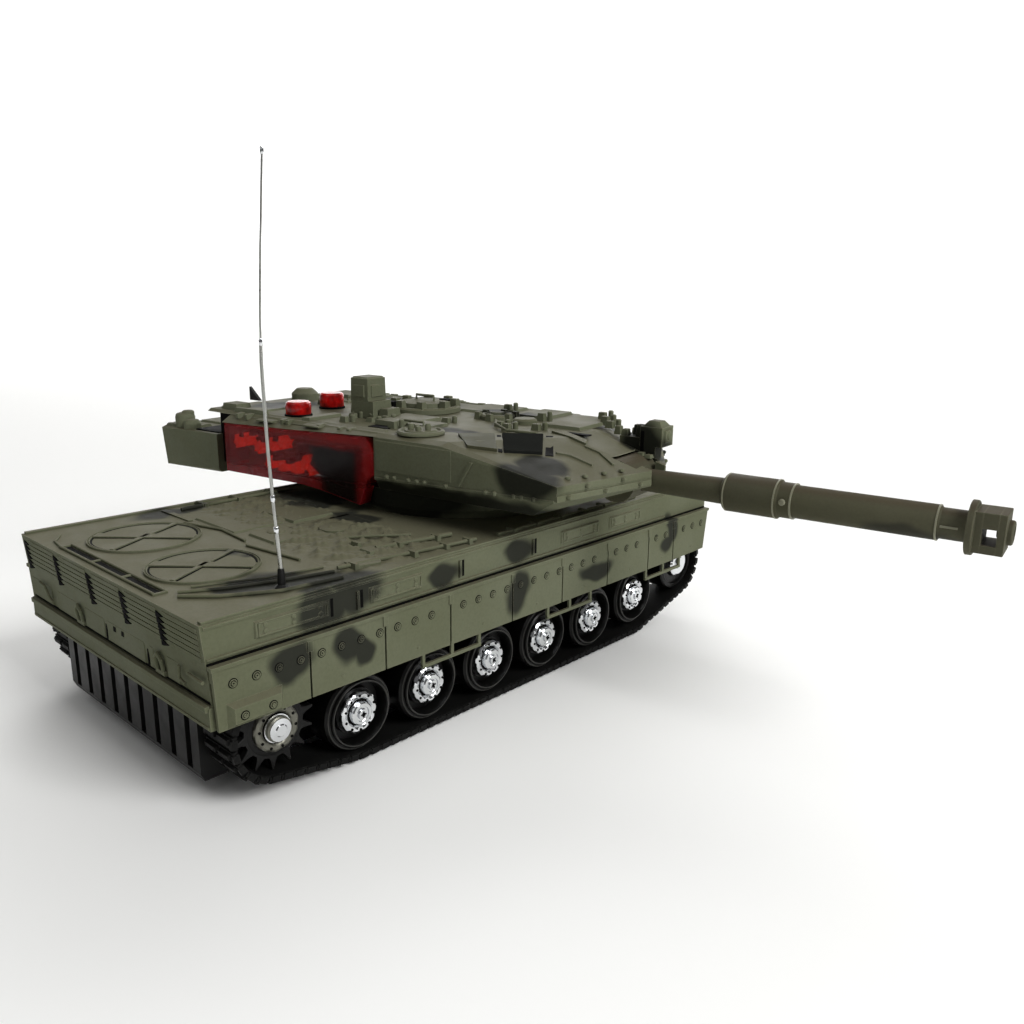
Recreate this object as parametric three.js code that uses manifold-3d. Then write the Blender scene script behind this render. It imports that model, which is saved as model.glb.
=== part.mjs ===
// Radio-controlled toy battle tank, in millimetres, +Z up.
// The front of the hull faces -Y and the hull's right side is -X. The origin is on the turret's turning
// axis, in the plane of the chassis belly. The turret is turned towards the right side at rest.
import * as THREE from 'three';
import { mergeVertices } from 'three/addons/utils/BufferGeometryUtils.js';
import { ConvexGeometry } from 'three/addons/geometries/ConvexGeometry.js';
import Module from 'manifold-3d';

const wasm = await Module();
wasm.setup();

// Driving dimensions. "u" runs forward from the rear plate, "v" runs out from the middle of the hull.
const GAP = 0.3;
const WALL = 2;
const HULL_LENGTH = 300;
const HULL_HALF_WIDTH = 75;
const DECK_Z = 66;
const FENDER_Z = 52;
const SPONSON_Z = 44.5;
const SKIRT_BOTTOM_Z = 29;
const SKIRT_HALF_WIDTH = 77.5;
const GROUND_Z = -6;
const AXIS_FROM_REAR = 186;
const TURRET_TURN = THREE.MathUtils.degToRad(-82);

const TUB_HALF_WIDTH = 55;
const TRACK_INNER_V = 56.7;
const TRACK_OUTER_V = 75.4;
const BAND_THICKNESS = 2;
const CLEAT_HEIGHT = 1.4;
const CLEAT_COUNT = 62;

const WHEEL_COUNT = 6;
const WHEEL_RADIUS = 15.3;
const FIRST_WHEEL_U = 62.5;
const WHEEL_PITCH = 35.3;
const WHEEL_Z = GROUND_Z + CLEAT_HEIGHT + BAND_THICKNESS + GAP + WHEEL_RADIUS;
const LAST_WHEEL_LIFT = 2.5;
const SHAFT_RADIUS = 2;
const SHAFT_END_V = 50;
const SPROCKET = { u: 27, z: 20, tip: 16.3, root: 13.4, teeth: 14 };
const IDLER = { u: 279, z: 24, radius: 14.8 };

const DECK_HOLE_RADIUS = 27;
const TURRET_BOTTOM_Z = 77.8;
const TURRET_BASE_RADIUS = 54.5;
const TURRET_RING_RADIUS = 23.5;
const ROOF_Z = 104;
const GUN_Z = 87;
const TRUNNION_A = 95;
const GUN_SLOT_HALF_WIDTH = 12;
const CHEEK_HALF_WIDTH = 60;
const BODY_HALF_WIDTH = 46;
const WINDOW_FRONT_A = -4.5;

const BATTERY = { halfWidth: 30, u0: 82, u1: 144 };
const SWITCH = { v: 16, u0: 156, u1: 168 };
const MOTOR_V = 16;
const SHAFT_HOLE_RADIUS = 2.5;
const BOARD_Z = 18;
const BOARD_POST_RADIUS = 2.2;
const BOARD_POSTS_U = [220, 254];
const ANTENNA = { u: 38, v: 63, height: 146 };
const STEP_RAILS = [[91, 122], [166, 197], [243, 274]];

// Colours of the mouldings.
const OLIVE = new THREE.Color(0x6b6d58);
const BLACK = new THREE.Color(0x1a1b1a);
const RUBBER = new THREE.Color(0x121312);
const CHROME = new THREE.Color(0xd8dadb);
const RED = new THREE.Color(0xb01216);
const STEEL = new THREE.Color(0x9a9c98);
const GREEN = new THREE.Color(0x1f5a34);
const BLUE = new THREE.Color(0x2c4a78);

const forwardOf = (u) => AXIS_FROM_REAR - u;
const sorted = (a, b) => [Math.min(a, b), Math.max(a, b)];
const SIDES = { right: -1, left: 1 };

// ---------------------------------------------------------------- solids and booleans

function solidOf(geometry) {
  const bare = geometry.clone();
  bare.deleteAttribute('normal');
  bare.deleteAttribute('uv');
  const merged = mergeVertices(bare, 1e-4);
  const corners = merged.index.array;
  const triangles = [];
  for (let i = 0; i < corners.length; i += 3) {
    const [a, b, c] = [corners[i], corners[i + 1], corners[i + 2]];
    if (a !== b && b !== c && c !== a) {
      triangles.push(a, b, c);
    }
  }
  const mesh = new wasm.Mesh({
    numProp: 3,
    vertProperties: new Float32Array(merged.attributes.position.array),
    triVerts: new Uint32Array(triangles),
  });
  return new wasm.Manifold(mesh);
}

function geometryOf(solid) {
  const mesh = solid.getMesh();
  const geometry = new THREE.BufferGeometry();
  geometry.setAttribute('position', new THREE.BufferAttribute(new Float32Array(mesh.vertProperties), 3));
  geometry.setIndex(new THREE.BufferAttribute(new Uint32Array(mesh.triVerts), 1));
  return geometry;
}

const joined = (...geometries) => geometries.map(solidOf).reduce((sum, piece) => sum.add(piece));
const cutBy = (solid, ...geometries) => (
  geometries.map(solidOf).reduce((rest, tool) => rest.subtract(tool), solid)
);

function box(x0, x1, y0, y1, z0, z1) {
  const geometry = new THREE.BoxGeometry(Math.abs(x1 - x0), Math.abs(y1 - y0), Math.abs(z1 - z0));
  return geometry.translate((x0 + x1) / 2, (y0 + y1) / 2, (z0 + z1) / 2);
}

// A box given in hull terms: u forward from the rear plate, x across, z up.
const hullBox = (x0, x1, u0, u1, z0, z1) => box(x0, x1, forwardOf(u1), forwardOf(u0), z0, z1);

// A box given in turret terms: a forward from the turning axis, b to the turret's right.
const turretBox = (a0, a1, b0, b1, z0, z1) => box(-b1, -b0, -a1, -a0, z0, z1);

function extruded(shape, depth) {
  return new THREE.ExtrudeGeometry(shape, { depth, bevelEnabled: false });
}

// An outline of [y, z] points, extruded across the object from x0 to x1.
function prismAcross(points, x0, x1) {
  const shape = new THREE.Shape(points.map(([y, z]) => new THREE.Vector2(y, z)));
  const turn = new THREE.Matrix4().makeBasis(
    new THREE.Vector3(0, 1, 0),
    new THREE.Vector3(0, 0, 1),
    new THREE.Vector3(1, 0, 0),
  );
  return extruded(shape, x1 - x0).applyMatrix4(turn).translate(x0, 0, 0);
}

const hullPrism = (points, x0, x1) => prismAcross(points.map(([u, z]) => [forwardOf(u), z]), x0, x1);

// A solid of revolution about the X axis, from [radius, distance out] points, on one side of the hull.
function latheAcross(profile, side, u, z, segments) {
  const points = profile.map(([r, v]) => new THREE.Vector2(r, v));
  const geometry = new THREE.LatheGeometry(points, segments);
  return geometry.rotateZ((-side * Math.PI) / 2).translate(0, forwardOf(u), z);
}

// A solid of revolution about a vertical axis, from [radius, z] points.
function latheUp(profile, x, y, segments) {
  const points = profile.map(([r, z]) => new THREE.Vector2(r, z));
  return new THREE.LatheGeometry(points, segments).rotateX(Math.PI / 2).translate(x, y, 0);
}

// A solid of revolution about a line parallel to Y, from [radius, distance towards -Y] points.
function latheForward(profile, x, z, segments) {
  const points = profile.map(([r, t]) => new THREE.Vector2(r, t));
  return new THREE.LatheGeometry(points, segments).rotateX(Math.PI).translate(x, 0, z);
}

const regularPolygon = (sides, radius) => Array.from({ length: sides }, (_, i) => {
  const angle = (i * 2 * Math.PI) / sides;
  return new THREE.Vector2(radius * Math.cos(angle), radius * Math.sin(angle));
});

const rod = (radius, from, to) => [[0, from], [radius, from], [radius, to], [0, to]];

function part(name, geometry, color, roughness, metalness = 0) {
  const material = new THREE.MeshStandardMaterial({ color, roughness, metalness });
  const mesh = new THREE.Mesh(geometry, material);
  mesh.name = name;
  return mesh;
}

// ---------------------------------------------------------------- wheel stations

const wheelStations = [];
for (let i = 0; i < WHEEL_COUNT; i += 1) {
  const lift = i === WHEEL_COUNT - 1 ? LAST_WHEEL_LIFT : 0;
  wheelStations.push({ u: FIRST_WHEEL_U + i * WHEEL_PITCH, z: WHEEL_Z + lift });
}

// ---------------------------------------------------------------- hull

// The rear plate leans in below the deck edge and ends in a ledge. The fenders run level almost to the
// front, and the glacis between them starts further back.
function upperHull() {
  const rearLine = [[1.3, SKIRT_BOTTOM_Z], [1.3, 37], [2.6, 37.6], [0, DECK_Z]];
  const fenderLine = [[262, DECK_Z], [HULL_LENGTH, 56], [HULL_LENGTH, 37], [298.4, 37]];
  const underside = [[298.4, SPONSON_Z], [5, SPONSON_Z], [5, SKIRT_BOTTOM_Z]];
  const outline = [...rearLine, ...fenderLine, ...underside];
  const shell = solidOf(hullPrism(outline, -HULL_HALF_WIDTH, HULL_HALF_WIDTH));
  const aboveGlacis = hullPrism([[226, DECK_Z], [226, DECK_Z + 1], [301, DECK_Z + 1], [301, 50]], -55, 55);
  const insideLine = [
    [4.5, SPONSON_Z + WALL],
    [2.6, DECK_Z - WALL],
    [225.5, DECK_Z - WALL],
    [294, 50 - WALL],
    [290, SPONSON_Z + WALL],
  ];
  const insideHalf = HULL_HALF_WIDTH - WALL;
  const inside = hullPrism(insideLine, -insideHalf, insideHalf);
  const floorHalf = TUB_HALF_WIDTH - WALL - 0.5;
  const floorOpening = hullBox(-floorHalf, floorHalf, 12, 278, SPONSON_Z - 1, SPONSON_Z + WALL + 1);
  const turretHole = latheUp(rod(DECK_HOLE_RADIUS, DECK_Z - WALL - 1, DECK_Z + 1), 0, 0, 40);
  return geometryOf(cutBy(shell, aboveGlacis, inside, floorOpening, turretHole));
}

function lowerHull() {
  const outer = [[8, 0], [6.6, 3], [6.6, 44.2], [284, 44.2], [290, 30], [264, 0]];
  const inner = [[10.5, WALL], [10.5, 45.2], [281.5, 45.2], [287, 30.4], [263, WALL]];
  const insideHalf = TUB_HALF_WIDTH - WALL;
  const tub = solidOf(hullPrism(outer, -TUB_HALF_WIDTH, TUB_HALF_WIDTH));
  let body = tub.subtract(solidOf(hullPrism(inner, -insideHalf, insideHalf)));
  const grooveCount = 9;
  const groovePitch = 11.9;
  for (let i = 0; i < grooveCount; i += 1) {
    const x = (i - (grooveCount - 1) / 2) * groovePitch;
    body = body.subtract(solidOf(hullBox(x - 1.9, x + 1.9, 5, 8.8, 3.4, 32)));
  }
  body = cutBy(
    body,
    hullBox(-BATTERY.halfWidth, BATTERY.halfWidth, BATTERY.u0, BATTERY.u1, -1, WALL + 1),
    hullBox(SWITCH.v - 2.3, SWITCH.v + 2.3, SWITCH.u0, SWITCH.u1, -1, WALL + 1),
  );
  const shaftHole = rod(SHAFT_HOLE_RADIUS, insideHalf - 1, TUB_HALF_WIDTH + 1);
  const post = rod(BOARD_POST_RADIUS, WALL - 0.5, BOARD_Z);
  for (const side of Object.values(SIDES)) {
    for (const station of [...wheelStations, SPROCKET, IDLER]) {
      body = cutBy(body, latheAcross(shaftHole, side, station.u, station.z, 12));
    }
    for (const u of BOARD_POSTS_U) {
      body = body.add(solidOf(latheUp(post, side * 20, forwardOf(u), 10)));
    }
  }
  return geometryOf(body);
}

// A skirt is a plate with a thicker top strip against the hull side and three open step rails under it.
function skirt(side) {
  const front = HULL_LENGTH;
  const plate = [
    [3, SKIRT_BOTTOM_Z], [1.6, FENDER_Z], [front, FENDER_Z], [front - 3, SKIRT_BOTTOM_Z + 0.5],
  ];
  const strip = [[2, 45], [1.6, FENDER_Z], [front, FENDER_Z], [front - 1, 45]];
  const across = (points, v0, v1) => hullPrism(points, ...sorted(side * v0, side * v1));
  let body = joined(
    across(plate, SKIRT_HALF_WIDTH - 1.5, SKIRT_HALF_WIDTH),
    across(strip, HULL_HALF_WIDTH + GAP, SKIRT_HALF_WIDTH - 1),
  );
  for (const [start, end] of STEP_RAILS) {
    const bar = (u0, u1, z0, z1) => hullBox(...sorted(side * 76.2, side * 77.4), u0, u1, z0, z1);
    const middle = (start + end) / 2;
    for (const u of [start, middle, end]) {
      body = body.add(solidOf(bar(u - 0.7, u + 0.7, SKIRT_BOTTOM_Z - 4.6, SKIRT_BOTTOM_Z + 1)));
    }
    body = body.add(solidOf(bar(start - 0.7, end + 0.7, SKIRT_BOTTOM_Z - 5.6, SKIRT_BOTTOM_Z - 4.2)));
  }
  return geometryOf(body);
}

// ---------------------------------------------------------------- tracks

// The line of a belt laid round circles {u, z, r}, anticlockwise with u to the right: points with their
// outward direction and the distance travelled.
function beltRoute(circles) {
  const arcStep = Math.PI / 12;
  const runs = circles.map((from, i) => {
    const to = circles[(i + 1) % circles.length];
    const span = Math.hypot(to.u - from.u, to.z - from.z);
    return Math.atan2(to.z - from.z, to.u - from.u) - Math.acos((from.r - to.r) / span);
  });
  const route = [];
  circles.forEach((circle, i) => {
    const start = runs[(i + circles.length - 1) % circles.length];
    let sweep = runs[i] - start;
    while (sweep < 0) {
      sweep += 2 * Math.PI;
    }
    const steps = Math.max(1, Math.ceil(sweep / arcStep));
    for (let k = 0; k <= steps; k += 1) {
      const angle = start + (sweep * k) / steps;
      const out = [Math.cos(angle), Math.sin(angle)];
      route.push({ u: circle.u + circle.r * out[0], z: circle.z + circle.r * out[1], out, s: 0 });
    }
  });
  for (let i = 1; i < route.length; i += 1) {
    route[i].s = route[i - 1].s + Math.hypot(route[i].u - route[i - 1].u, route[i].z - route[i - 1].z);
  }
  const [first, last] = [route[0], route[route.length - 1]];
  route.total = last.s + Math.hypot(first.u - last.u, first.z - last.z);
  return route;
}

function pointOnRoute(route, distance, height) {
  const s = distance % route.total;
  let i = 0;
  while (i < route.length - 1 && route[i + 1].s < s) {
    i += 1;
  }
  const from = route[i];
  const to = route[(i + 1) % route.length];
  const end = i === route.length - 1 ? route.total : to.s;
  const t = (s - from.s) / Math.max(end - from.s, 1e-6);
  const mix = (p, q) => p + (q - p) * t;
  const out = [mix(from.out[0], to.out[0]), mix(from.out[1], to.out[1])];
  return [forwardOf(mix(from.u, to.u) + out[0] * height), mix(from.z, to.z) + out[1] * height];
}

function track(side) {
  const last = wheelStations[WHEEL_COUNT - 1];
  const rim = WHEEL_RADIUS + GAP;
  const circles = [
    { u: SPROCKET.u, z: SPROCKET.z, r: SPROCKET.tip + GAP },
    { u: FIRST_WHEEL_U, z: WHEEL_Z, r: rim },
    { u: last.u, z: WHEEL_Z, r: rim },
    { u: IDLER.u, z: IDLER.z, r: IDLER.radius + GAP },
  ];
  const route = beltRoute(circles);
  const pitch = route.total / CLEAT_COUNT;
  const cleatShare = 0.45;
  const outline = [];
  for (let i = 0; i < CLEAT_COUNT; i += 1) {
    const [start, end] = [i * pitch, (i + cleatShare) * pitch];
    outline.push(pointOnRoute(route, start, BAND_THICKNESS));
    outline.push(pointOnRoute(route, start, BAND_THICKNESS + CLEAT_HEIGHT));
    outline.push(pointOnRoute(route, end, BAND_THICKNESS + CLEAT_HEIGHT));
    outline.push(pointOnRoute(route, end, BAND_THICKNESS));
  }
  const inner = route.map(({ u, z }) => [forwardOf(u), z]);
  const band = solidOf(prismAcross(outline, ...sorted(side * TRACK_INNER_V, side * TRACK_OUTER_V)));
  const clear = prismAcross(inner, ...sorted(side * (TRACK_INNER_V - 1), side * (TRACK_OUTER_V + 1)));
  return geometryOf(cutBy(band, clear));
}

// ---------------------------------------------------------------- wheels

function roadWheel(side, station) {
  const rim = WHEEL_RADIUS;
  const profile = [
    [0, SHAFT_END_V], [SHAFT_RADIUS, SHAFT_END_V], [SHAFT_RADIUS, 59], [rim, 59], [rim, 72.5],
    [13.3, 74], [12.3, 74], [12, 71.5], [8.8, 71.5], [8.8, 70.2], [0, 70.2],
  ];
  return latheAcross(profile, side, station.u, station.z, 20);
}

function wheelHub(side, station) {
  const profile = [[0, 70.5], [8.5, 70.5], [8.5, 72.6], [7, 73.6], [4, 73.6], [3.7, 75.3], [0, 75.3]];
  return latheAcross(profile, side, station.u, station.z, 14);
}

function sprocket(side) {
  const outline = [];
  for (let i = 0; i < SPROCKET.teeth; i += 1) {
    const corners = [[0, SPROCKET.root], [0.3, SPROCKET.tip], [0.45, SPROCKET.tip], [0.75, SPROCKET.root]];
    for (const [share, radius] of corners) {
      const angle = ((i + share) * 2 * Math.PI) / SPROCKET.teeth;
      const y = forwardOf(SPROCKET.u) + radius * Math.cos(angle);
      outline.push([y, SPROCKET.z + radius * Math.sin(angle)]);
    }
  }
  const gear = prismAcross(outline, ...sorted(side * 60, side * 71));
  const shaft = latheAcross(rod(SHAFT_RADIUS, 30, 61), side, SPROCKET.u, SPROCKET.z, 12);
  return geometryOf(joined(gear, shaft));
}

function sprocketHub(side) {
  const profile = [
    [0, 71.3], [9, 71.3], [9, 73.2], [8, 73.6], [7.4, 72.6], [4.6, 72.6], [4.2, 75.3], [0, 75.3],
  ];
  return latheAcross(profile, side, SPROCKET.u, SPROCKET.z, 20);
}

function idler(side) {
  const profile = [
    [0, SHAFT_END_V], [SHAFT_RADIUS, SHAFT_END_V], [SHAFT_RADIUS, 59], [IDLER.radius, 59],
    [IDLER.radius, 72], [12.5, 72.4], [11.6, 70.8], [7.8, 70.8], [6.5, 73], [0, 73],
  ];
  return latheAcross(profile, side, IDLER.u, IDLER.z, 16);
}

// ---------------------------------------------------------------- inside the hull

function batteryDoor() {
  const half = BATTERY.halfWidth - GAP;
  const plate = hullBox(-half, half, BATTERY.u0 + GAP, BATTERY.u1 - GAP, 0, WALL);
  const grip = hullBox(-8, 8, BATTERY.u0 + 6, BATTERY.u0 + 9, -1, 1);
  return geometryOf(cutBy(solidOf(plate), grip));
}

function batteryPack() {
  const cellRadius = 7.2;
  const cellPitch = 14;
  const cells = [];
  for (let i = 0; i < 4; i += 1) {
    const x = (i - 1.5) * cellPitch;
    const cell = latheForward(rod(cellRadius, 0, 50.5), x, WALL + GAP + cellRadius, 14);
    cells.push(cell.translate(0, forwardOf(BATTERY.u0 + 5), 0));
  }
  const wrap = hullBox(-24, 24, BATTERY.u0 + 8, BATTERY.u0 + 54, WALL + GAP + 3, WALL + GAP + 11);
  return geometryOf(joined(wrap, ...cells));
}

function powerSwitch() {
  const inside = WALL + GAP;
  const { v, u0 } = SWITCH;
  const plate = hullBox(v - 4, v + 4, u0 - 1.5, u0 + 9.5, inside, inside + 1.6);
  const knob = hullBox(v - 1.9, v + 1.9, u0 + 0.8, u0 + 6.2, -0.8, inside + 0.5);
  return geometryOf(joined(plate, knob));
}

function driveGearbox() {
  const body = hullBox(-38, 38, 12.5, 44, WALL + GAP, 36);
  const bores = Object.values(SIDES).flatMap((side) => [
    latheAcross(rod(SHAFT_HOLE_RADIUS, 29.5, 39), side, SPROCKET.u, SPROCKET.z, 14),
    latheForward(rod(1.5, 0, 9), side * MOTOR_V, SPROCKET.z, 10).translate(0, forwardOf(36), 0),
  ]);
  const steps = Object.values(SIDES).map((side) => (
    hullBox(...sorted(side * 28, side * 39), 36, 45, 1, 37)
  ));
  return geometryOf(cutBy(solidOf(body), ...bores, ...steps));
}

function driveMotor(side) {
  const profile = [
    [0, 0], [1, 0], [1, 8], [3.5, 8], [3.5, 9], [10, 9], [10, 31], [6, 31], [6, 33.5], [0, 33.5],
  ];
  return latheForward(profile, side * MOTOR_V, SPROCKET.z, 18).translate(0, forwardOf(36.5), 0);
}

function circuitBoard() {
  const boardZ = BOARD_Z + GAP;
  const plate = hullBox(-30, 30, 214, 260, boardZ, boardZ + 1.6);
  const chip = hullBox(-8, 6, 230, 240, boardZ + 1, boardZ + 4);
  const coil = latheUp(rod(4, boardZ + 1, boardZ + 9), 18, forwardOf(226), 12);
  const socket = hullBox(-26, -14, 218, 224, boardZ + 1, boardZ + 8);
  return geometryOf(joined(plate, chip, coil, socket));
}

// A motor standing on the belly plate, with its pinion inside the turret's ring.
function turretMotor() {
  const floor = WALL + GAP;
  const profile = [
    [0, floor], [8, floor], [8, 44], [3, 44], [3, 46], [1.2, 46], [1.2, 58.5], [5, 58.5], [5, 66],
    [0, 66],
  ];
  return latheUp(profile, 0, TURRET_RING_RADIUS - GAP - 5, 16);
}

// ---------------------------------------------------------------- antenna

function antennaBase() {
  const z = DECK_Z + GAP;
  const profile = [[0, z], [2.6, z], [2.6, z + 1.4], [2, z + 2.4], [1.7, z + 7], [0, z + 7]];
  return latheUp(profile, -ANTENNA.v, forwardOf(ANTENNA.u), 14);
}

// The whip bows a little to the rear right in the middle and back past its foot at the tip.
function antennaRod() {
  const foot = DECK_Z + GAP + 7 + GAP;
  const points = [[0, 0], [-1.2, 0.15], [-2.1, 0.3], [-2.7, 0.5], [-2.2, 0.62], [0.3, 0.88], [1.5, 1]];
  const lean = new THREE.Vector2(-0.73, -0.68);
  const route = new THREE.CatmullRomCurve3(points.map(([bow, share]) => new THREE.Vector3(
    -ANTENNA.v + bow * lean.x,
    forwardOf(ANTENNA.u) + bow * lean.y,
    foot + share * (ANTENNA.height - 7),
  )));
  const section = new THREE.Shape(regularPolygon(8, 0.6));
  return new THREE.ExtrudeGeometry(section, { steps: 14, extrudePath: route });
}

// ---------------------------------------------------------------- turret

function turretBase() {
  const [inner, outer, top] = [TURRET_RING_RADIUS, TURRET_BASE_RADIUS, TURRET_BOTTOM_Z - GAP];
  const profile = [
    [inner, 58], [29, 58], [29, 61.5], [26.5, 61.5], [26.5, DECK_Z + GAP], [53, DECK_Z + GAP],
    [outer, 70], [outer, top], [inner, top], [inner, 58],
  ];
  return latheUp(profile, 0, 0, 36);
}

// A convex block from [a, b, z] points, where b stands for both sides of the turret.
function turretBlock(corners) {
  const points = corners.flatMap(([a, b, z]) => [
    new THREE.Vector3(-b, -a, z),
    new THREE.Vector3(b, -a, z),
  ]);
  return new ConvexGeometry(points);
}

// One half of the wedge-shaped front. The left half's outer corner is set further back than the right's.
function cheek(side) {
  const corner = side === SIDES.right ? 95 : 82;
  const rear = WINDOW_FRONT_A + GAP;
  const points = [
    [rear, 56, TURRET_BOTTOM_Z], [corner - 15, 54, TURRET_BOTTOM_Z], [rear, 59.5, 84],
    [corner, CHEEK_HALF_WIDTH, 87], [corner, CHEEK_HALF_WIDTH, 93], [rear, 59.5, 102.6],
    [35, 59.5, 102.6], [56, CHEEK_HALF_WIDTH, 98], [rear, 56, ROOF_Z], [36, 55, ROOF_Z],
    [70, 12, ROOF_Z], [70, -1, ROOF_Z], [rear, -1, ROOF_Z], [rear, -1, TURRET_BOTTOM_Z],
    [90, 7, TURRET_BOTTOM_Z + 3], [90, -1, TURRET_BOTTOM_Z + 3], [110, 7, 86], [110, 7, 93],
    [110, -1, 86], [110, -1, 93],
  ];
  return new ConvexGeometry(points.map(([a, b, z]) => new THREE.Vector3(side * b, -a, z)));
}

function turretShell() {
  const side = BODY_HALF_WIDTH;
  const rear = turretBlock([
    [-124, side - 2, 74], [-124, side, 103], [-66, side, 74], [-56, side, 78.5], [-56, side, 103],
  ]);
  const middle = turretBox(-60, 2, -side, side, TURRET_BOTTOM_Z, 103);
  const roof = turretBlock([[-131, 54, 102.6], [-131, 52, ROOF_Z], [2, 58, 102.6], [2, 56, ROOF_Z]]);
  const cheeks = Object.values(SIDES).map((hand) => cheek(hand));
  const sight = [
    turretBox(95, 102, -19, -12.4, 88, 101),
    turretBox(94, 105, -24, -12.4, 99.5, 108.5),
    turretBox(83, 95, -24, -13.5, 92, 103),
  ];
  const slotHalf = GUN_SLOT_HALF_WIDTH;
  const drumRoom = turretBox(TRUNNION_A - 10.5, TRUNNION_A + 10.3, -slotHalf, slotHalf, 77, 97.5);
  const barrelRoom = turretBox(104, 125, -6.4, 6.4, 77, 106);
  return geometryOf(cutBy(joined(rear, middle, roof, ...cheeks, ...sight), drumRoom, barrelRoom));
}

// A hollow translucent box beside the turret's body, open towards it. Its lower front corner is drawn down
// in front of the turret base.
function sideWindow(side) {
  const outline = [
    [-110, 73.5], [-52, 74], [-40, 73], [-13.5, 69.4], [-9, 81], [WINDOW_FRONT_A, 84.5],
    [WINDOW_FRONT_A, 96], [-9, 102], [-110, 98.5],
  ];
  const inside = [
    [-108.5, 75], [-52, 75.5], [-40, 78.5], [-12.5, 78.5], [-10.5, 82], [WINDOW_FRONT_A - 1.5, 87],
    [WINDOW_FRONT_A - 1.5, 95], [-10, 100.2], [-108.5, 97],
  ];
  const across = (points, b0, b1) => (
    prismAcross(points.map(([a, z]) => [-a, z]), ...sorted(side * b0, side * b1))
  );
  const outer = across(outline, BODY_HALF_WIDTH + 2 * GAP, CHEEK_HALF_WIDTH);
  const inner = across(inside, BODY_HALF_WIDTH - 1, CHEEK_HALF_WIDTH - 1.5);
  const baseRoom = latheUp(rod(TURRET_BASE_RADIUS + GAP, 69, TURRET_BOTTOM_Z + GAP), 0, 0, 40);
  return geometryOf(cutBy(solidOf(outer), inner, baseRoom));
}

function ledBoard(side) {
  const plate = turretBox(-100, -20, ...sorted(-side * 47.2, -side * 48.6), 80, 94);
  let body = solidOf(plate);
  for (let i = 0; i < 8; i += 1) {
    const a = -94 + (i % 4) * 16 + (i > 3 ? 6 : 0);
    const z = i > 3 ? 84 : 90;
    body = body.add(solidOf(turretBox(a - 2.5, a + 2.5, ...sorted(-side * 48, -side * 52), z - 2, z + 2)));
  }
  return geometryOf(body);
}

function bustleBox() {
  const body = turretBlock([
    [-177, 50, 67.5], [-177, 52, 89], [-176, 50, 90], [-125, 52, 69.5], [-125, 54, 71], [-125, 54, 90.5],
  ]);
  const canister = latheUp(rod(4.6, 88, 97), -46, 163, 12);
  return geometryOf(joined(body, canister));
}

function lamp(a, b, radius, height) {
  const z = ROOF_Z + GAP;
  const profile = [
    [0, z], [radius, z], [radius, z + height - 1.2], [radius - 1, z + height], [0, z + height],
  ];
  return latheUp(profile, -b, -a, 20);
}

function sightBlock() {
  const z = ROOF_Z + GAP;
  const pedestal = turretBox(-50, -34, 14, 28, z, z + 8.5);
  const head = turretBox(-49, -38.5, 15, 27, z + 8, z + 19.7);
  return geometryOf(joined(pedestal, head));
}

function hatch(a, b, radius, height) {
  const z = ROOF_Z + GAP;
  const profile = [
    [0, z], [radius, z], [radius, z + height * 0.6], [radius - 2, z + height * 0.6],
    [radius - 3.5, z + height], [0, z + height],
  ];
  return latheUp(profile, -b, -a, 28);
}

// ---------------------------------------------------------------- gun

function gunMantlet() {
  const half = GUN_SLOT_HALF_WIDTH - GAP - 0.3;
  const drum = new THREE.CylinderGeometry(9.6, 9.6, 2 * half, 28);
  drum.rotateZ(Math.PI / 2).translate(0, -TRUNNION_A, GUN_Z);
  const socket = latheForward(rod(5.5, 98, 110), 0, GUN_Z, 20);
  return geometryOf(cutBy(solidOf(drum), socket));
}

function barrel() {
  const profile = [
    [0, 98.3], [5.1, 98.3], [5.1, 110], [5.7, 141.5], [7.9, 143.5], [8.05, 165], [7.3, 165.4], [7.3, 171],
    [6.75, 171.4], [6.75, 225], [5.9, 225.4], [5.9, 234.4], [0, 234.4],
  ];
  return latheForward(profile, 0, GUN_Z, 24);
}

function muzzleBrake() {
  const flange = latheForward(rod(10.2, 234.7, 237.2), 0, GUN_Z, 20);
  const block = turretBox(237, 247.5, -7.2, 7.2, GUN_Z - 7.6, GUN_Z + 7.6);
  const tip = latheForward(rod(4.6, 247, 249.5), 0, GUN_Z, 16);
  const window = turretBox(240.2, 245.2, -8, 8, GUN_Z - 4.6, GUN_Z + 1.4);
  const bore = latheForward(rod(2.6, 243, 250), 0, GUN_Z, 14);
  return geometryOf(cutBy(joined(flange, block, tip), window, bore));
}

// ---------------------------------------------------------------- assembly

const tank = new THREE.Group();
const turret = new THREE.Group();
turret.rotation.z = TURRET_TURN;
tank.add(turret);

tank.add(part('upper_hull', upperHull(), OLIVE, 0.6));
tank.add(part('lower_hull', lowerHull(), BLACK, 0.5));
tank.add(part('battery_door', batteryDoor(), BLACK, 0.5));
tank.add(part('battery_pack', batteryPack(), BLUE, 0.4));
tank.add(part('power_switch', powerSwitch(), RED, 0.5));
tank.add(part('drive_gearbox', driveGearbox(), STEEL, 0.6));
tank.add(part('circuit_board', circuitBoard(), GREEN, 0.5));
tank.add(part('turret_motor', turretMotor(), STEEL, 0.3, 1));
tank.add(part('antenna_base', antennaBase(), BLACK, 0.5));
tank.add(part('antenna_rod', antennaRod(), STEEL, 0.3, 1));

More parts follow.
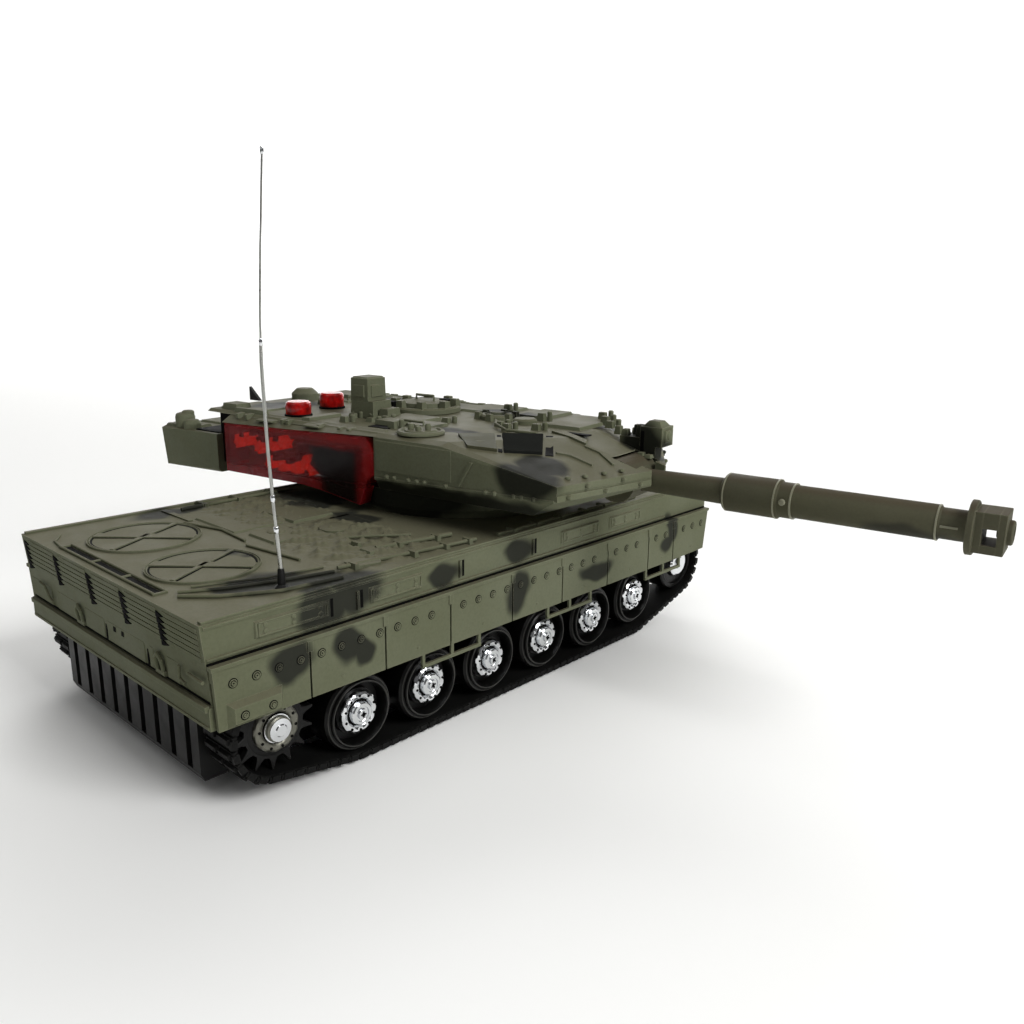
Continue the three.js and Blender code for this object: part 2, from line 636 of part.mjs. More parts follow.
for (const [name, side] of Object.entries(SIDES)) {
  tank.add(part(`${name}_skirt`, skirt(side), OLIVE, 0.6));
  tank.add(part(`${name}_track`, track(side), RUBBER, 0.8));
  tank.add(part(`${name}_sprocket`, sprocket(side), BLACK, 0.5));
  tank.add(part(`${name}_sprocket_hub`, sprocketHub(side), CHROME, 0.15, 1));
  tank.add(part(`${name}_idler`, idler(side), BLACK, 0.5));
  tank.add(part(`${name}_drive_motor`, driveMotor(side), STEEL, 0.3, 1));
  wheelStations.forEach((station, i) => {
    tank.add(part(`${name}_wheel_${i + 1}`, roadWheel(side, station), BLACK, 0.5));
    tank.add(part(`${name}_hub_${i + 1}`, wheelHub(side, station), CHROME, 0.15, 1));
  });
  turret.add(part(`${name}_window`, sideWindow(side), RED, 0.15));
}

turret.add(part('turret_base', turretBase(), OLIVE, 0.6));
turret.add(part('turret_shell', turretShell(), OLIVE, 0.6));
turret.add(part('bustle_box', bustleBox(), OLIVE, 0.6));
turret.add(part('right_led_board', ledBoard(SIDES.right), GREEN, 0.5));
turret.add(part('rear_lamp', lamp(-81, 11, 6.5, 8.4), RED, 0.15));
turret.add(part('side_lamp', lamp(-73, 42, 6.5, 7.4), RED, 0.15));
turret.add(part('sight_block', sightBlock(), OLIVE, 0.6));
turret.add(part('commander_hatch', hatch(-35, -13, 19, 5), OLIVE, 0.6));
turret.add(part('loader_hatch', hatch(13, 46.5, 11, 3), OLIVE, 0.6));
turret.add(part('gun_mantlet', gunMantlet(), OLIVE, 0.6));
turret.add(part('barrel', barrel(), OLIVE, 0.6));
turret.add(part('muzzle_brake', muzzleBrake(), OLIVE, 0.6));

export default tank;
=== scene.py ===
import math

import bmesh
import bpy
from mathutils import Matrix, Vector


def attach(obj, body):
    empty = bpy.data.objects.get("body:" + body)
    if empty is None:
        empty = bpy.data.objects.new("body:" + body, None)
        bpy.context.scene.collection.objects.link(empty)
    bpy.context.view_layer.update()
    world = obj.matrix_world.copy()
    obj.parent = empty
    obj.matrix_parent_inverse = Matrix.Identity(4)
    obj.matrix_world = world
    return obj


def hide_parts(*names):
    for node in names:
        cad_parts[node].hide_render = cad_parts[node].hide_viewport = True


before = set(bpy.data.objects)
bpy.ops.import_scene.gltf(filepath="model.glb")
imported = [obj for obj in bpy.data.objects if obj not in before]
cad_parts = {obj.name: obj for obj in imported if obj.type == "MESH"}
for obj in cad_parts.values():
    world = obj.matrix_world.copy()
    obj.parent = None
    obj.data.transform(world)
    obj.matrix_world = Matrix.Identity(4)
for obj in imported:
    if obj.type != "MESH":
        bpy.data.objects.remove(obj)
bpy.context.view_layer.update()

# Driving sizes in millimetres. u: forward from the rear plate. v: to the hull's right. z: above the belly.
AXIS_U = 186.0
DECK = 66.0
SIDE = 75.0
SKIRT = 77.5
SKIRT_BOTTOM = 29.0
SLAT_PITCH = 2.05
ANTENNA = (38, 63)
ANTENNA_FOOT, ANTENNA_LENGTH = 73.6, 139
TURN = math.radians(-82)
ROOF = 104.0
GUN_Z = 87.0
TRACK_IN, TRACK_OUT = 56.7, 75.4
BAND = 2.0
CLEAT = 1.4
WHEELS = [(62.5 + 35.3 * i, 15.5 if i == 5 else 13.0) for i in range(6)]
WHEEL_R = 15.3
SPROCKET = (27.0, 20.0, 16.3)
IDLER = (279.0, 24.0, 14.8)
SEAMS = [38.7, 72.1, 105.5, 141.9, 175.4, 209.5, 243.8, 266.8]
STEPS = [(91, 122), (166, 197), (243, 274)]
SIDES = {"right": 1, "left": -1}


# ------------------------------------------------------------------ shapes


class Solid:
    """Collects closed shapes, made of (u, v, z) points on the hull or (a, b, z) points on the turret."""

    def __init__(self, turret=False):
        self.bm = bmesh.new()
        self.turret = turret

    def place(self, p):
        if self.turret:
            x, y = -p[1], -p[0]
            c, s = math.cos(TURN), math.sin(TURN)
            return Vector((x * c - y * s, x * s + y * c, p[2])) / 1000
        return Vector((-p[1], AXIS_U - p[0], p[2])) / 1000

    def loops(self, rings, caps=True):
        """Joins rings of points into a skin, with flat caps at both ends."""
        rows = [[self.bm.verts.new(self.place(p)) for p in ring] for ring in rings]
        n = len(rows[0])
        for a, b in zip(rows, rows[1:]):
            for i in range(n):
                j = (i + 1) % n
                self.bm.faces.new((a[i], a[j], b[j], b[i]))
        if caps:
            self.bm.faces.new(rows[0])
            self.bm.faces.new(rows[-1])
        return self

    def box(self, u0, u1, v0, v1, z0, z1, taper=0.0):
        """A block; taper pulls the top in on all sides."""
        low = [(u0, v0, z0), (u1, v0, z0), (u1, v1, z0), (u0, v1, z0)]
        t = taper
        high = [(u0 + t, v0 + t, z1), (u1 - t, v0 + t, z1), (u1 - t, v1 - t, z1), (u0 + t, v1 - t, z1)]
        return self.loops([low, high])

    def side_box(self, u0, u1, z0, z1, v0, v1, taper=0.0):
        """A block standing out from a side face, from v0 to v1, with its outer end pulled in."""
        t = taper
        low = [(u0, v0, z0), (u1, v0, z0), (u1, v0, z1), (u0, v0, z1)]
        high = [(u0 + t, v1, z0 + t), (u1 - t, v1, z0 + t), (u1 - t, v1, z1 - t), (u0 + t, v1, z1 - t)]
        return self.loops([low, high])

    def end_box(self, v0, v1, z0, z1, u0, u1, taper=0.0):
        """A block standing out from an end face, from u0 to u1."""
        t = taper
        low = [(u0, v0, z0), (u0, v1, z0), (u0, v1, z1), (u0, v0, z1)]
        high = [(u1, v0 + t, z0 + t), (u1, v1 - t, z0 + t), (u1, v1 - t, z1 - t), (u1, v0 + t, z1 - t)]
        return self.loops([low, high])

    def prism(self, points, v0, v1):
        """An outline of (u, z) points run across from v0 to v1."""
        return self.loops([[(u, v, z) for u, z in points] for v in (v0, v1)])

    def plate(self, points, z0, z1):
        """An outline of (u, v) points run up from z0 to z1."""
        return self.loops([[(u, v, z) for u, v in points] for z in (z0, z1)])

    def lathe(self, profile, centre, axis="v", n=32):
        """(radius, distance) points turned about an axis through centre. axis is u, v or z."""
        rings = []
        for r, d in profile:
            ring = []
            for k in range(n):
                t = 2 * math.pi * k / n
                c, s = max(r, 0.001) * math.cos(t), max(r, 0.001) * math.sin(t)
                offset = {"v": (c, d, s), "z": (c, s, d), "u": (d, c, s)}[axis]
                ring.append(tuple(o + q for o, q in zip(centre, offset)))
            rings.append(ring)
        closed = abs(profile[0][0] - profile[-1][0]) < 1e-6 and profile[0][1] == profile[-1][1]
        return self.loops(rings, caps=not closed)

    def tube(self, path, radius, n=10):
        """A round bar along a path of points."""
        pts = [Vector(p) for p in path]
        rings = []
        normal = None
        for i, p in enumerate(pts):
            along = (pts[min(i + 1, len(pts) - 1)] - pts[max(i - 1, 0)]).normalized()
            if normal is None:
                normal = along.orthogonal().normalized()
            normal = (normal - along * normal.dot(along)).normalized()
            other = along.cross(normal)
            turns = (2 * math.pi * k / n for k in range(n))
            rings.append([tuple(p + radius * (normal * math.cos(t) + other * math.sin(t))) for t in turns])
        return self.loops(rings)

    def bolt(self, u, v, z, axis="v", r=1.1, h=0.5, out=1):
        """A low domed screw head."""
        profile = [(r, 0), (r, out * h * 0.6), (r * 0.7, out * h), (r * 0.3, out * h * 1.1)]
        return self.lathe(profile, (u, v, z), axis, 10)

    def screw(self, u, v, z, axis="v", r=1.3, out=1):
        """A cap screw: a washer ring with a socketed head in it."""
        washer = [(r, 0), (r, out * 0.35), (r * 0.75, out * 0.35), (r * 0.75, 0)]
        head = [(r * 0.55, 0), (r * 0.55, out * 0.6), (r * 0.25, out * 0.6), (r * 0.2, out * 0.3)]
        self.lathe(washer, (u, v, z), axis, 12)
        return self.lathe(head, (u, v, z), axis, 8)


def piece(solid, name, body, material, bevel=0.3, replaces=(), angle=32):
    """Turns a Solid into a named piece that rides on a body."""
    bmesh.ops.recalc_face_normals(solid.bm, faces=solid.bm.faces)
    mesh = bpy.data.meshes.new(name)
    solid.bm.to_mesh(mesh)
    solid.bm.free()
    mesh.polygons.foreach_set("use_smooth", [True] * len(mesh.polygons))
    mesh.set_sharp_from_angle(angle=math.radians(angle))
    obj = bpy.data.objects.new(name, mesh)
    bpy.context.scene.collection.objects.link(obj)
    mesh.materials.append(material)
    soften(obj, bevel)
    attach(obj, body)
    if replaces:
        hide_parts(*replaces)
    return obj


def soften(obj, width):
    """Rounds an object's sharp edges, over a width in millimetres."""
    if width:
        bevel = obj.modifiers.new("edge", "BEVEL")
        bevel.width = width / 1000
        bevel.segments = 2
        bevel.limit_method = "ANGLE"
        bevel.angle_limit = math.radians(35)
        bevel.harden_normals = True


# ------------------------------------------------------------------ materials


class Nodes:
    """A short way to write a material's nodes."""

    def __init__(self, name):
        self.material = bpy.data.materials.new(name)
        self.material.use_nodes = True
        self.tree = self.material.node_tree
        self.tree.nodes.clear()
        self.shader = self.tree.nodes.new("ShaderNodeBsdfPrincipled")
        output = self.tree.nodes.new("ShaderNodeOutputMaterial")
        self.tree.links.new(self.shader.outputs[0], output.inputs["Surface"])
        self.place = self.tree.nodes.new("ShaderNodeTexCoord").outputs["Object"]

    def link(self, value, socket):
        if isinstance(value, bpy.types.NodeSocket):
            self.tree.links.new(value, socket)
        else:
            socket.default_value = value

    def split(self, value):
        """The X, Y and Z outputs of a vector."""
        node = self.tree.nodes.new("ShaderNodeSeparateXYZ")
        self.link(value, node.inputs[0])
        return node.outputs

    def turret_frame(self, where):
        """A place turned back into the turret's own directions."""
        node = self.tree.nodes.new("ShaderNodeVectorRotate")
        node.rotation_type = "Z_AXIS"
        self.link(where, node.inputs["Vector"])
        node.inputs["Angle"].default_value = -TURN
        return node.outputs[0]

    def facing_up(self):
        """1 on upper faces, 0 on upright ones."""
        normal = self.tree.nodes.new("ShaderNodeNewGeometry").outputs["Normal"]
        return self.ramp(self.split(normal)["Z"], 0.55, 0.9)

    def noise(self, scale, detail=3.0, rough=0.55, vector=None, color=False):
        node = self.tree.nodes.new("ShaderNodeTexNoise")
        self.link(vector or self.place, node.inputs["Vector"])
        node.inputs["Scale"].default_value = scale
        node.inputs["Detail"].default_value = detail
        node.inputs["Roughness"].default_value = rough
        return node.outputs["Color" if color else "Fac"]

    def math(self, operation, a, b=0.0, c=0.0):
        node = self.tree.nodes.new("ShaderNodeMath")
        node.operation = operation
        for value, socket in zip((a, b, c), node.inputs):
            self.link(value, socket)
        return node.outputs[0]

    def vector(self, operation, a, b=(0, 0, 0)):
        node = self.tree.nodes.new("ShaderNodeVectorMath")
        node.operation = operation
        self.link(a, node.inputs[0])
        self.link(b, node.inputs[1])
        return node.outputs["Value" if operation in ("LENGTH", "DOT_PRODUCT") else "Vector"]

    def ramp(self, value, low, high, a=0.0, b=1.0):
        """Maps low..high smoothly to a..b."""
        node = self.tree.nodes.new("ShaderNodeMapRange")
        node.interpolation_type = "SMOOTHSTEP"
        self.link(value, node.inputs["Value"])
        for name, number in (("From Min", low), ("From Max", high), ("To Min", a), ("To Max", b)):
            node.inputs[name].default_value = number
        return node.outputs["Result"]

    def mix(self, factor, a, b):
        node = self.tree.nodes.new("ShaderNodeMix")
        node.data_type = "RGBA"
        self.link(factor, node.inputs["Factor"])
        self.link(a, node.inputs[6])
        self.link(b, node.inputs[7])
        return node.outputs[2]

    def edges(self, radius=0.0005):
        """High where the surface turns sharply."""
        bevel = self.tree.nodes.new("ShaderNodeBevel")
        bevel.samples = 4
        bevel.inputs["Radius"].default_value = radius
        geometry = self.tree.nodes.new("ShaderNodeNewGeometry")
        dot = self.vector("DOT_PRODUCT", bevel.outputs[0], geometry.outputs["Normal"])
        return self.ramp(dot, 0.985, 0.9)

    def bump(self, height, strength, distance=0.0002):
        node = self.tree.nodes.new("ShaderNodeBump")
        node.inputs["Strength"].default_value = strength
        node.inputs["Distance"].default_value = distance
        self.link(height, node.inputs["Height"])
        self.link(node.outputs[0], self.shader.inputs["Normal"])

    def set(self, **values):
        for name, value in values.items():
            self.link(value, self.shader.inputs[name.replace("_", " ")])
        return self


def rgb(r, g, b):
    """A display colour from 0 to 255 as linear RGBA."""
    linear = [((c / 255 + 0.055) / 1.055) ** 2.4 if c > 10 else c / 255 / 12.92 for c in (r, g, b)]
    return (*linear, 1.0)


# Soft dark patches of the camouflage, some of them painted shade or shadow: hull (u, v, z) or turret (a, b,
# z) centre, then radii, in millimetres.
HULL_PATCHES = [
    ((56, 77, 44.5), (8, 6, 6.5)),
    ((62, 77, 40), (5, 6, 5)),
    ((31, 77, 45), (7, 6, 8)),
    ((47, 74, 59), (13, 9, 7)),
    ((60, 72, 63), (12, 9, 8)),
    ((28, 50, 66), (9, 8, 3)),
    ((41, 55, 66), (13, 12, 3)),
    ((54, 66, 66), (10, 11, 4)),
    ((50, 16, 66), (5, 8, 2)),
    ((62, -66, 66), (20, 10, 3)),
    # These two are painted shadow of the turret on the deck, over a real dark patch.
    ((124, -36, 66), (17, 32, 2)),
    ((118, 4, 66), (9, 16, 2)),
    ((106, 76, 58), (8, 6, 5)),
    ((146, 78, 42), (8, 6, 9)),
    ((150, 76, 60), (9, 7, 6)),
    ((200, 78, 39), (12, 5, 5)),
    ((264, 78, 46), (5, 5, 8)),
    ((259, 78, 38), (6, 5, 5)),
    ((40, -78, 44), (16, 8, 12)),
    ((120, -77, 46), (20, 8, 14)),
    ((200, -77, 50), (18, 8, 12)),
    ((262, -30, 64), (16, 26, 12)),
    ((286, 40, 56), (10, 16, 10)),
]
TURRET_PATCHES = [
    # These two are painted shade: the dark band under the side plates' lower edge.
    ((40, 56, 74), (80, 14, 9.5)),
    ((40, -56, 74), (80, 14, 9.5)),
    ((80, 60, 94), (15, 9, 9)),
    ((80, 47, 98), (11, 9, 6)),
    ((24, 30, 105), (16, 7, 4)),
    ((-60, -30, 105), (30, 20, 5)),
    ((10, -24, 105), (18, 12, 5)),
    ((-108, 20, 105), (14, 20, 5)),
    ((95, -18, 100), (12, 8, 10)),
    ((80, -48, 92), (20, 14, 14)),
    ((-150, -40, 80), (18, 18, 12)),
]


def patches(nodes, spots, turret):
    """A soft mask of the camouflage patches and the painted shade patches, with wavy edges."""
    wave = nodes.vector("SUBTRACT", nodes.noise(45, 2, 0.5, color=True), (0.5, 0.5, 0.5))
    node = nodes.tree.nodes.new("ShaderNodeVectorMath")
    node.operation = "MULTIPLY_ADD"
    nodes.link(wave, node.inputs[0])
    node.inputs[1].default_value = (0.016, 0.016, 0.012)
    nodes.link(nodes.place, node.inputs[2])
    where = node.outputs[0]
    if turret:
        where = nodes.turret_frame(where)
    total = 0.0
    for centre, radii in spots:
        at = Vector((-centre[1], -centre[0] if turret else AXIS_U - centre[0], centre[2])) / 1000
        size = Vector((radii[1], radii[0], radii[2])) / 1000
        away = nodes.vector("DIVIDE", nodes.vector("SUBTRACT", where, tuple(at)), tuple(size))
        spot = nodes.ramp(nodes.vector("LENGTH", away), 1.3, 0.8)
        total = nodes.math("MAXIMUM", total, spot)
    return total


def camouflage(name, spots, turret, base=(103, 106, 86), dark=(38, 39, 35), top_shade_depth=8):
    """Satin olive plastic with soft grey patches, faint grain, paler worn edges, and painted shade that
    darkens the upper faces.
    """
    n = Nodes(name)
    tone = n.mix(n.ramp(n.noise(14, 3), 0.35, 0.65), rgb(*base), rgb(base[0] - 8, base[1] - 8, base[2] - 9))
    # Painted shade: faces that look upward are darkened by a set amount.
    upper = rgb(base[0] - top_shade_depth, base[1] - top_shade_depth - 6, base[2] - top_shade_depth - 4)
    tone = n.mix(n.math("MULTIPLY", n.facing_up(), 0.8), tone, upper)
    tone = n.mix(n.math("MULTIPLY", patches(n, spots, turret), 0.94), tone, rgb(*dark))
    fine = n.noise(900, 2, 0.6)
    tone = n.mix(n.ramp(fine, 0.35, 0.75, 0.0, 0.12), tone, rgb(50, 50, 42))
    worn = n.math("MULTIPLY", n.edges(), n.ramp(n.noise(120, 3), 0.3, 0.7, 0.1, 0.45))
    tone = n.mix(worn, tone, rgb(142, 142, 120))
    n.set(Base_Color=tone, Roughness=n.ramp(n.noise(60, 3), 0.3, 0.7, 0.5, 0.64), Specular_IOR_Level=0.04)
    n.bump(n.math("ADD", fine, n.noise(260, 3)), 0.15)
    return n.material


def plain(name, color, rough=(0.4, 0.55), vary=0.12, metal=0.0, worn=(120, 120, 120), bump=0.1, wear=0.4,
          grain=900, shine=0.5):
    """A single-coloured finish with cloudy variation, fine grain and worn edges."""
    n = Nodes(name)
    base = rgb(*color)
    deep = tuple(c * (1 - vary) for c in base[:3]) + (1.0,)
    tone = n.mix(n.ramp(n.noise(40, 3), 0.3, 0.7), base, deep)
    edge = n.math("MULTIPLY", n.edges(), n.ramp(n.noise(150, 3), 0.35, 0.7, 0.05, wear))
    tone = n.mix(edge, tone, rgb(*worn))
    n.set(Base_Color=tone, Roughness=n.ramp(n.noise(90, 3), 0.3, 0.7, *rough), Metallic=metal)
    n.set(Specular_IOR_Level=shine)
    n.bump(n.noise(grain, 3, 0.6), bump)
    return n.material


def lamp_red(name, color, glow=0.0, rough=(0.12, 0.25)):
    """Deep red lens plastic, uneven in depth of colour, with a painted highlight along its edges."""
    n = Nodes(name)
    deep = rgb(int(color[0] * 0.55), 4, 5)
    tone = n.mix(n.ramp(n.noise(160, 3), 0.3, 0.7), rgb(*color), deep)
    # Painted highlight: the lens's edges are lit up to orange-red.
    tone = n.mix(n.math("MULTIPLY", n.edges(0.0008), 0.4), tone, rgb(235, 70, 50))
    n.set(Base_Color=tone, Roughness=n.ramp(n.noise(80, 2), 0.3, 0.7, *rough), Specular_IOR_Level=0.35)
    if glow:
        n.set(Emission_Color=rgb(235, 40, 14), Emission_Strength=glow)
    n.bump(n.noise(200, 2), 0.05)
    return n.material


def window_red(name):
    """Tinted clear plastic: see-through at the back, almost black low at the front, with pale streaks, and
    painted highlights on its edges and in bands along its front and top.
    """
    n = Nodes(name)
    where = n.turret_frame(n.place)
    forward = n.math("MULTIPLY", n.split(where)["Y"], -1.0)
    high = n.split(where)["Z"]
    wave = n.math("MULTIPLY", n.math("SUBTRACT", n.noise(90, 2), 0.5), 0.02)
    front = n.ramp(n.math("ADD", n.math("ADD", forward, wave), n.math("MULTIPLY", high, 0.6)), 0.0, 0.012)
    front = n.math("MULTIPLY", front, n.ramp(forward, -0.012, -0.018))
    low = n.ramp(n.math("ADD", high, n.math("MULTIPLY", wave, 0.4)), 0.0955, 0.0925)
    dark = n.math("MULTIPLY", front, low)
    tone = n.mix(n.ramp(n.noise(60, 3), 0.3, 0.7), rgb(138, 26, 28), rgb(104, 16, 19))
    streak = n.vector("MULTIPLY", where, (20, 14, 400))
    pale = n.math("MULTIPLY", n.ramp(n.noise(1.0, 3, 0.6, streak), 0.5, 0.72), n.ramp(high, 0.086, 0.097))
    tone = n.mix(n.math("MULTIPLY", pale, 0.6), tone, rgb(176, 60, 62))
    tone = n.mix(dark, tone, rgb(16, 2, 3))
    # Painted highlight: sharp edges lightened to pinkish red.
    tone = n.mix(n.math("MULTIPLY", n.edges(0.0009), 0.55), tone, rgb(170, 52, 56))
    # Painted highlight in bands along the front edge and the top edge.
    band = n.math("MULTIPLY", n.ramp(forward, -0.0125, -0.0095), n.ramp(high, 0.079, 0.083))
    band = n.math("MAXIMUM", band, n.ramp(high, 0.0972, 0.0988))
    band = n.math("MULTIPLY", band, n.ramp(n.noise(130, 2), 0.25, 0.6, 0.35, 0.9))
    tone = n.mix(band, tone, rgb(176, 26, 28))
    n.set(Base_Color=tone, Roughness=n.ramp(n.noise(80, 2), 0.3, 0.7, 0.16, 0.3), Specular_IOR_Level=0.14)
    foot = n.ramp(high, 0.0795, 0.0765, 0.0, 0.42)
    n.set(Alpha=n.math("ADD", n.math("MAXIMUM", n.math("MULTIPLY", dark, 0.32), foot), 0.52))
    n.bump(n.noise(200, 2), 0.05)
    return n.material


M = {
    "hull": camouflage("olive_hull", HULL_PATCHES, False),
    # Painted shade: the turret's patches and upper faces are darker than the hull's, against the strong light
    # on its slopes.
    "turret": camouflage("olive_turret", TURRET_PATCHES, True, dark=(26, 27, 23), top_shade_depth=18),
    "gun": camouflage("olive_gun", [((214, 0, 82), (20, 9, 5))], True, (80, 79, 64), (52, 52, 44)),
    "black": plain("black_plastic", (22, 22, 21), (0.36, 0.5), 0.25, worn=(60, 60, 58), shine=0.18),
    "gloss": plain("gloss_black", (11, 11, 10), (0.28, 0.4), 0.2, worn=(44, 44, 42), shine=0.2),
    # The wheel beads' paler grey is a painted highlight on the real bead rings.
    "bead": plain("wheel_bead_highlight", (44, 44, 41), (0.3, 0.42), 0.2, worn=(80, 80, 74), shine=0.3),
    "dish": plain("dull_steel", (128, 127, 116), (0.34, 0.5), 0.35, 0.85, (190, 190, 180), 0.1, 0.4, 300),
    # Near-black fill for gaps, slots and holes; the deck's shadow lines and the rear notches use it as
    # painted shade.
    "dark": plain("dark_recess", (11, 11, 10), (0.65, 0.85), 0.2, worn=(28, 28, 26), shine=0.04),
    "rubber": plain("track_rubber", (17, 17, 16), (0.5, 0.7), 0.3, worn=(58, 58, 56), bump=0.25, grain=600,
                    shine=0.12),
    "chrome": plain("chrome_plate", (226, 228, 230), (0.08, 0.2), 0.06, 1.0, (255, 255, 255), 0.03, 0.2, 300),
    "steel": plain("antenna_steel", (176, 177, 172), (0.22, 0.38), 0.12, 1.0, (220, 220, 215),
                   0.05, 0.3, 400),
    "window": window_red("red_window"),
    "lamp": lamp_red("red_lamp", (190, 14, 12)),
    "led": lamp_red("led_lens", (232, 30, 12), 0.8),
    # Worn pale barrel rings; the stud beside them is painted pale as its highlight.
    "rim": plain("worn_rim_and_glint", (128, 127, 106), (0.4, 0.6), 0.2, worn=(170, 168, 146), shine=0.3),
    "shade": plain("grey_panel", (34, 35, 33), (0.6, 0.75), 0.15, worn=(70, 70, 64), shine=0.0),
    "moss": plain("moss_panel", (70, 70, 52), (0.55, 0.7), 0.15, worn=(104, 104, 84), shine=0.08),
    "board": plain("green_board", (28, 84, 50), (0.3, 0.45), 0.15),
    "grey": plain("grey_plastic", (120, 120, 116), (0.4, 0.55), 0.1),
    "blue": plain("blue_wrap", (40, 70, 116), (0.25, 0.4), 0.12),
    "red": plain("red_plastic", (160, 24, 22), (0.3, 0.45), 0.1),
}


# ------------------------------------------------------------------ hull


FANS = [(34, -33, 1.0), (31.6, 20, 0.94)]
FAN_RIM = [(22.6, 0), (22.5, 0.9), (22.1, 0.9), (22, 0.3), (21.7, 0.3), (21.6, 0.8), (21.2, 0.8), (21, 0)]
FAN_ARMS = ((0.82, 2.6), (-0.5, 1.0))


def turned(u, v, angle, half_length, half_width, shift=0.0):
    """Corners of a rectangle about (u, v), its length turned from forward towards the right."""
    c, w = math.cos(angle), math.sin(angle)
    corners = [(p * half_length, q * half_width + shift) for p, q in ((-1, -1), (1, -1), (1, 1), (-1, 1))]
    return [(u + along * c - beside * w, v + along * w + beside * c) for along, beside in corners]


def hull_top():
    """Fans, rails, hatches and panels on the deck. All stay under the turret's sweep."""
    s = Solid()
    for fu, fv, k in FANS:
        s.lathe([(r * k, h) for r, h in FAN_RIM], (fu, fv, DECK), "z", 60)
        s.lathe([(20.3 * k, 0), (20.3 * k, 0.35), (0.5, 0.5)], (fu, fv, DECK), "z", 48)
        for angle, wide in FAN_ARMS:
            s.plate(turned(fu, fv, angle, 21 * k, wide), DECK, DECK + 1.1)
    for u in (3.4, 7.8):
        s.tube([(u, -42, DECK + 0.5), (u, 38, DECK + 0.5)], 0.6)
    for v in (-42, -14, 12, 38):
        s.box(2.8, 8.4, v - 0.6, v + 0.6, DECK - 0.2, DECK + 0.7)
    s.tube([(3.6, -42, DECK + 0.4), (5, -52, DECK + 0.4), (10, -60, DECK + 0.3)], 0.55)
    s.tube([(56, -42, DECK + 0.6), (62, -20, DECK + 0.6), (60, 2, DECK + 0.6)], 0.6)
    s.tube([(57, 8, DECK + 0.6), (61, 40, DECK + 0.6)], 0.6)
    s.box(59, 61.5, -70, -44, DECK, DECK + 0.7)
    s.box(1, 262, 72.4, 74.6, DECK - 0.3, DECK + 0.9)
    s.box(1, 262, -74.6, -72.4, DECK - 0.3, DECK + 0.9)
    s.box(63, 88, -46, -12, DECK, DECK + 0.8, 0.6)
    s.box(66, 84, -6, 14, DECK, DECK + 1.0, 0.6)
    s.box(90, 112, -34, -8, DECK, DECK + 1.4, 0.6)
    s.lathe([(7, 0), (7, 1.2), (5.6, 1.8), (0.5, 1.8)], (98, 12, DECK), "z", 32)
    s.lathe([(4, 0), (4, 1.2), (3, 1.8), (0.5, 1.8)], (76, 0, DECK), "z", 24)
    return piece(s, "deck_fittings", "hull", M["hull"], 0.2)


def deck_shadow_lines():
    """Painted shadow: dark lines between the rails, beside the fans' arms and along the hull's ledges."""
    s = Solid()
    s.box(4.3, 6.9, -41, 37, DECK - 0.2, DECK + 0.12)
    for fu, fv, k in FANS:
        s.plate(turned(fu, fv, 0.82, 20 * k, 0.35, -2.9), DECK, DECK + 0.6)
        s.plate(turned(fu, fv, 0.82, 20 * k, 0.35, 2.9), DECK, DECK + 0.6)
        s.plate(turned(fu, fv, -0.5, 20 * k, 0.35, 1.3), DECK, DECK + 0.6)
        groove = [(21 * k, 0), (21 * k, 0.42), (20.3 * k, 0.42), (20.3 * k, 0), (21 * k, 0)]
        s.lathe(groove, (fu, fv, DECK), "z", 48)
    for side in (-1, 1):
        s.side_box(1.6, 299, 52.0, 52.7, side * (SIDE - 0.3), side * (SIDE + 0.7))
    s.end_box(-74, 74, 38.0, 38.8, 3.0, 2.35)
    return piece(s, "deck_shadow_lines", "hull", M["dark"], 0.0)


def deck_relief(name, box, high, seed=0.0):
    """An uneven, rounded mass of moulded gear over a flat area, thinning out at its edges."""
    s = Solid()
    p0, p1, q0, q1 = box
    step = 0.7
    rows, columns = int((p1 - p0) / step), int((q1 - q0) / step)

    def rise(p, q):
        """Height of the mass, as a share of its highest point."""
        x, y = p * 0.27 + seed, q * 0.24
        folds = abs(math.sin(x + 1.4 * math.sin(y * 0.8)) * math.cos(y * 1.3 + 1.1 * math.sin(x * 0.7)))
        ripples = abs(math.sin(3.1 * x + 2.3 * y)) * abs(math.cos(2.9 * y - 1.7 * x))
        along, across = (p - p0) / (p1 - p0), (q - q0) / (q1 - q0)
        edge = 16 * along * (1 - along) * across * (1 - across)
        return max(0.0, min(1.0, 2.2 * edge) * (0.15 + 0.85 * folds) * (0.55 + 0.45 * ripples) - 0.06)

    rings = []
    for i in range(rows + 1):
        p = p0 + (p1 - p0) * i / rows
        line = [q0 + (q1 - q0) * k / columns for k in range(columns + 1)]
        top = [(p, q, DECK + 0.02 + high * rise(p, q)) for q in line]
        rings.append(top + [(p, q1, DECK - 0.4), (p, q0, DECK - 0.4)])
    s.loops(rings)
    return piece(s, name, "hull", M["hull"], 0.0, [], 50)


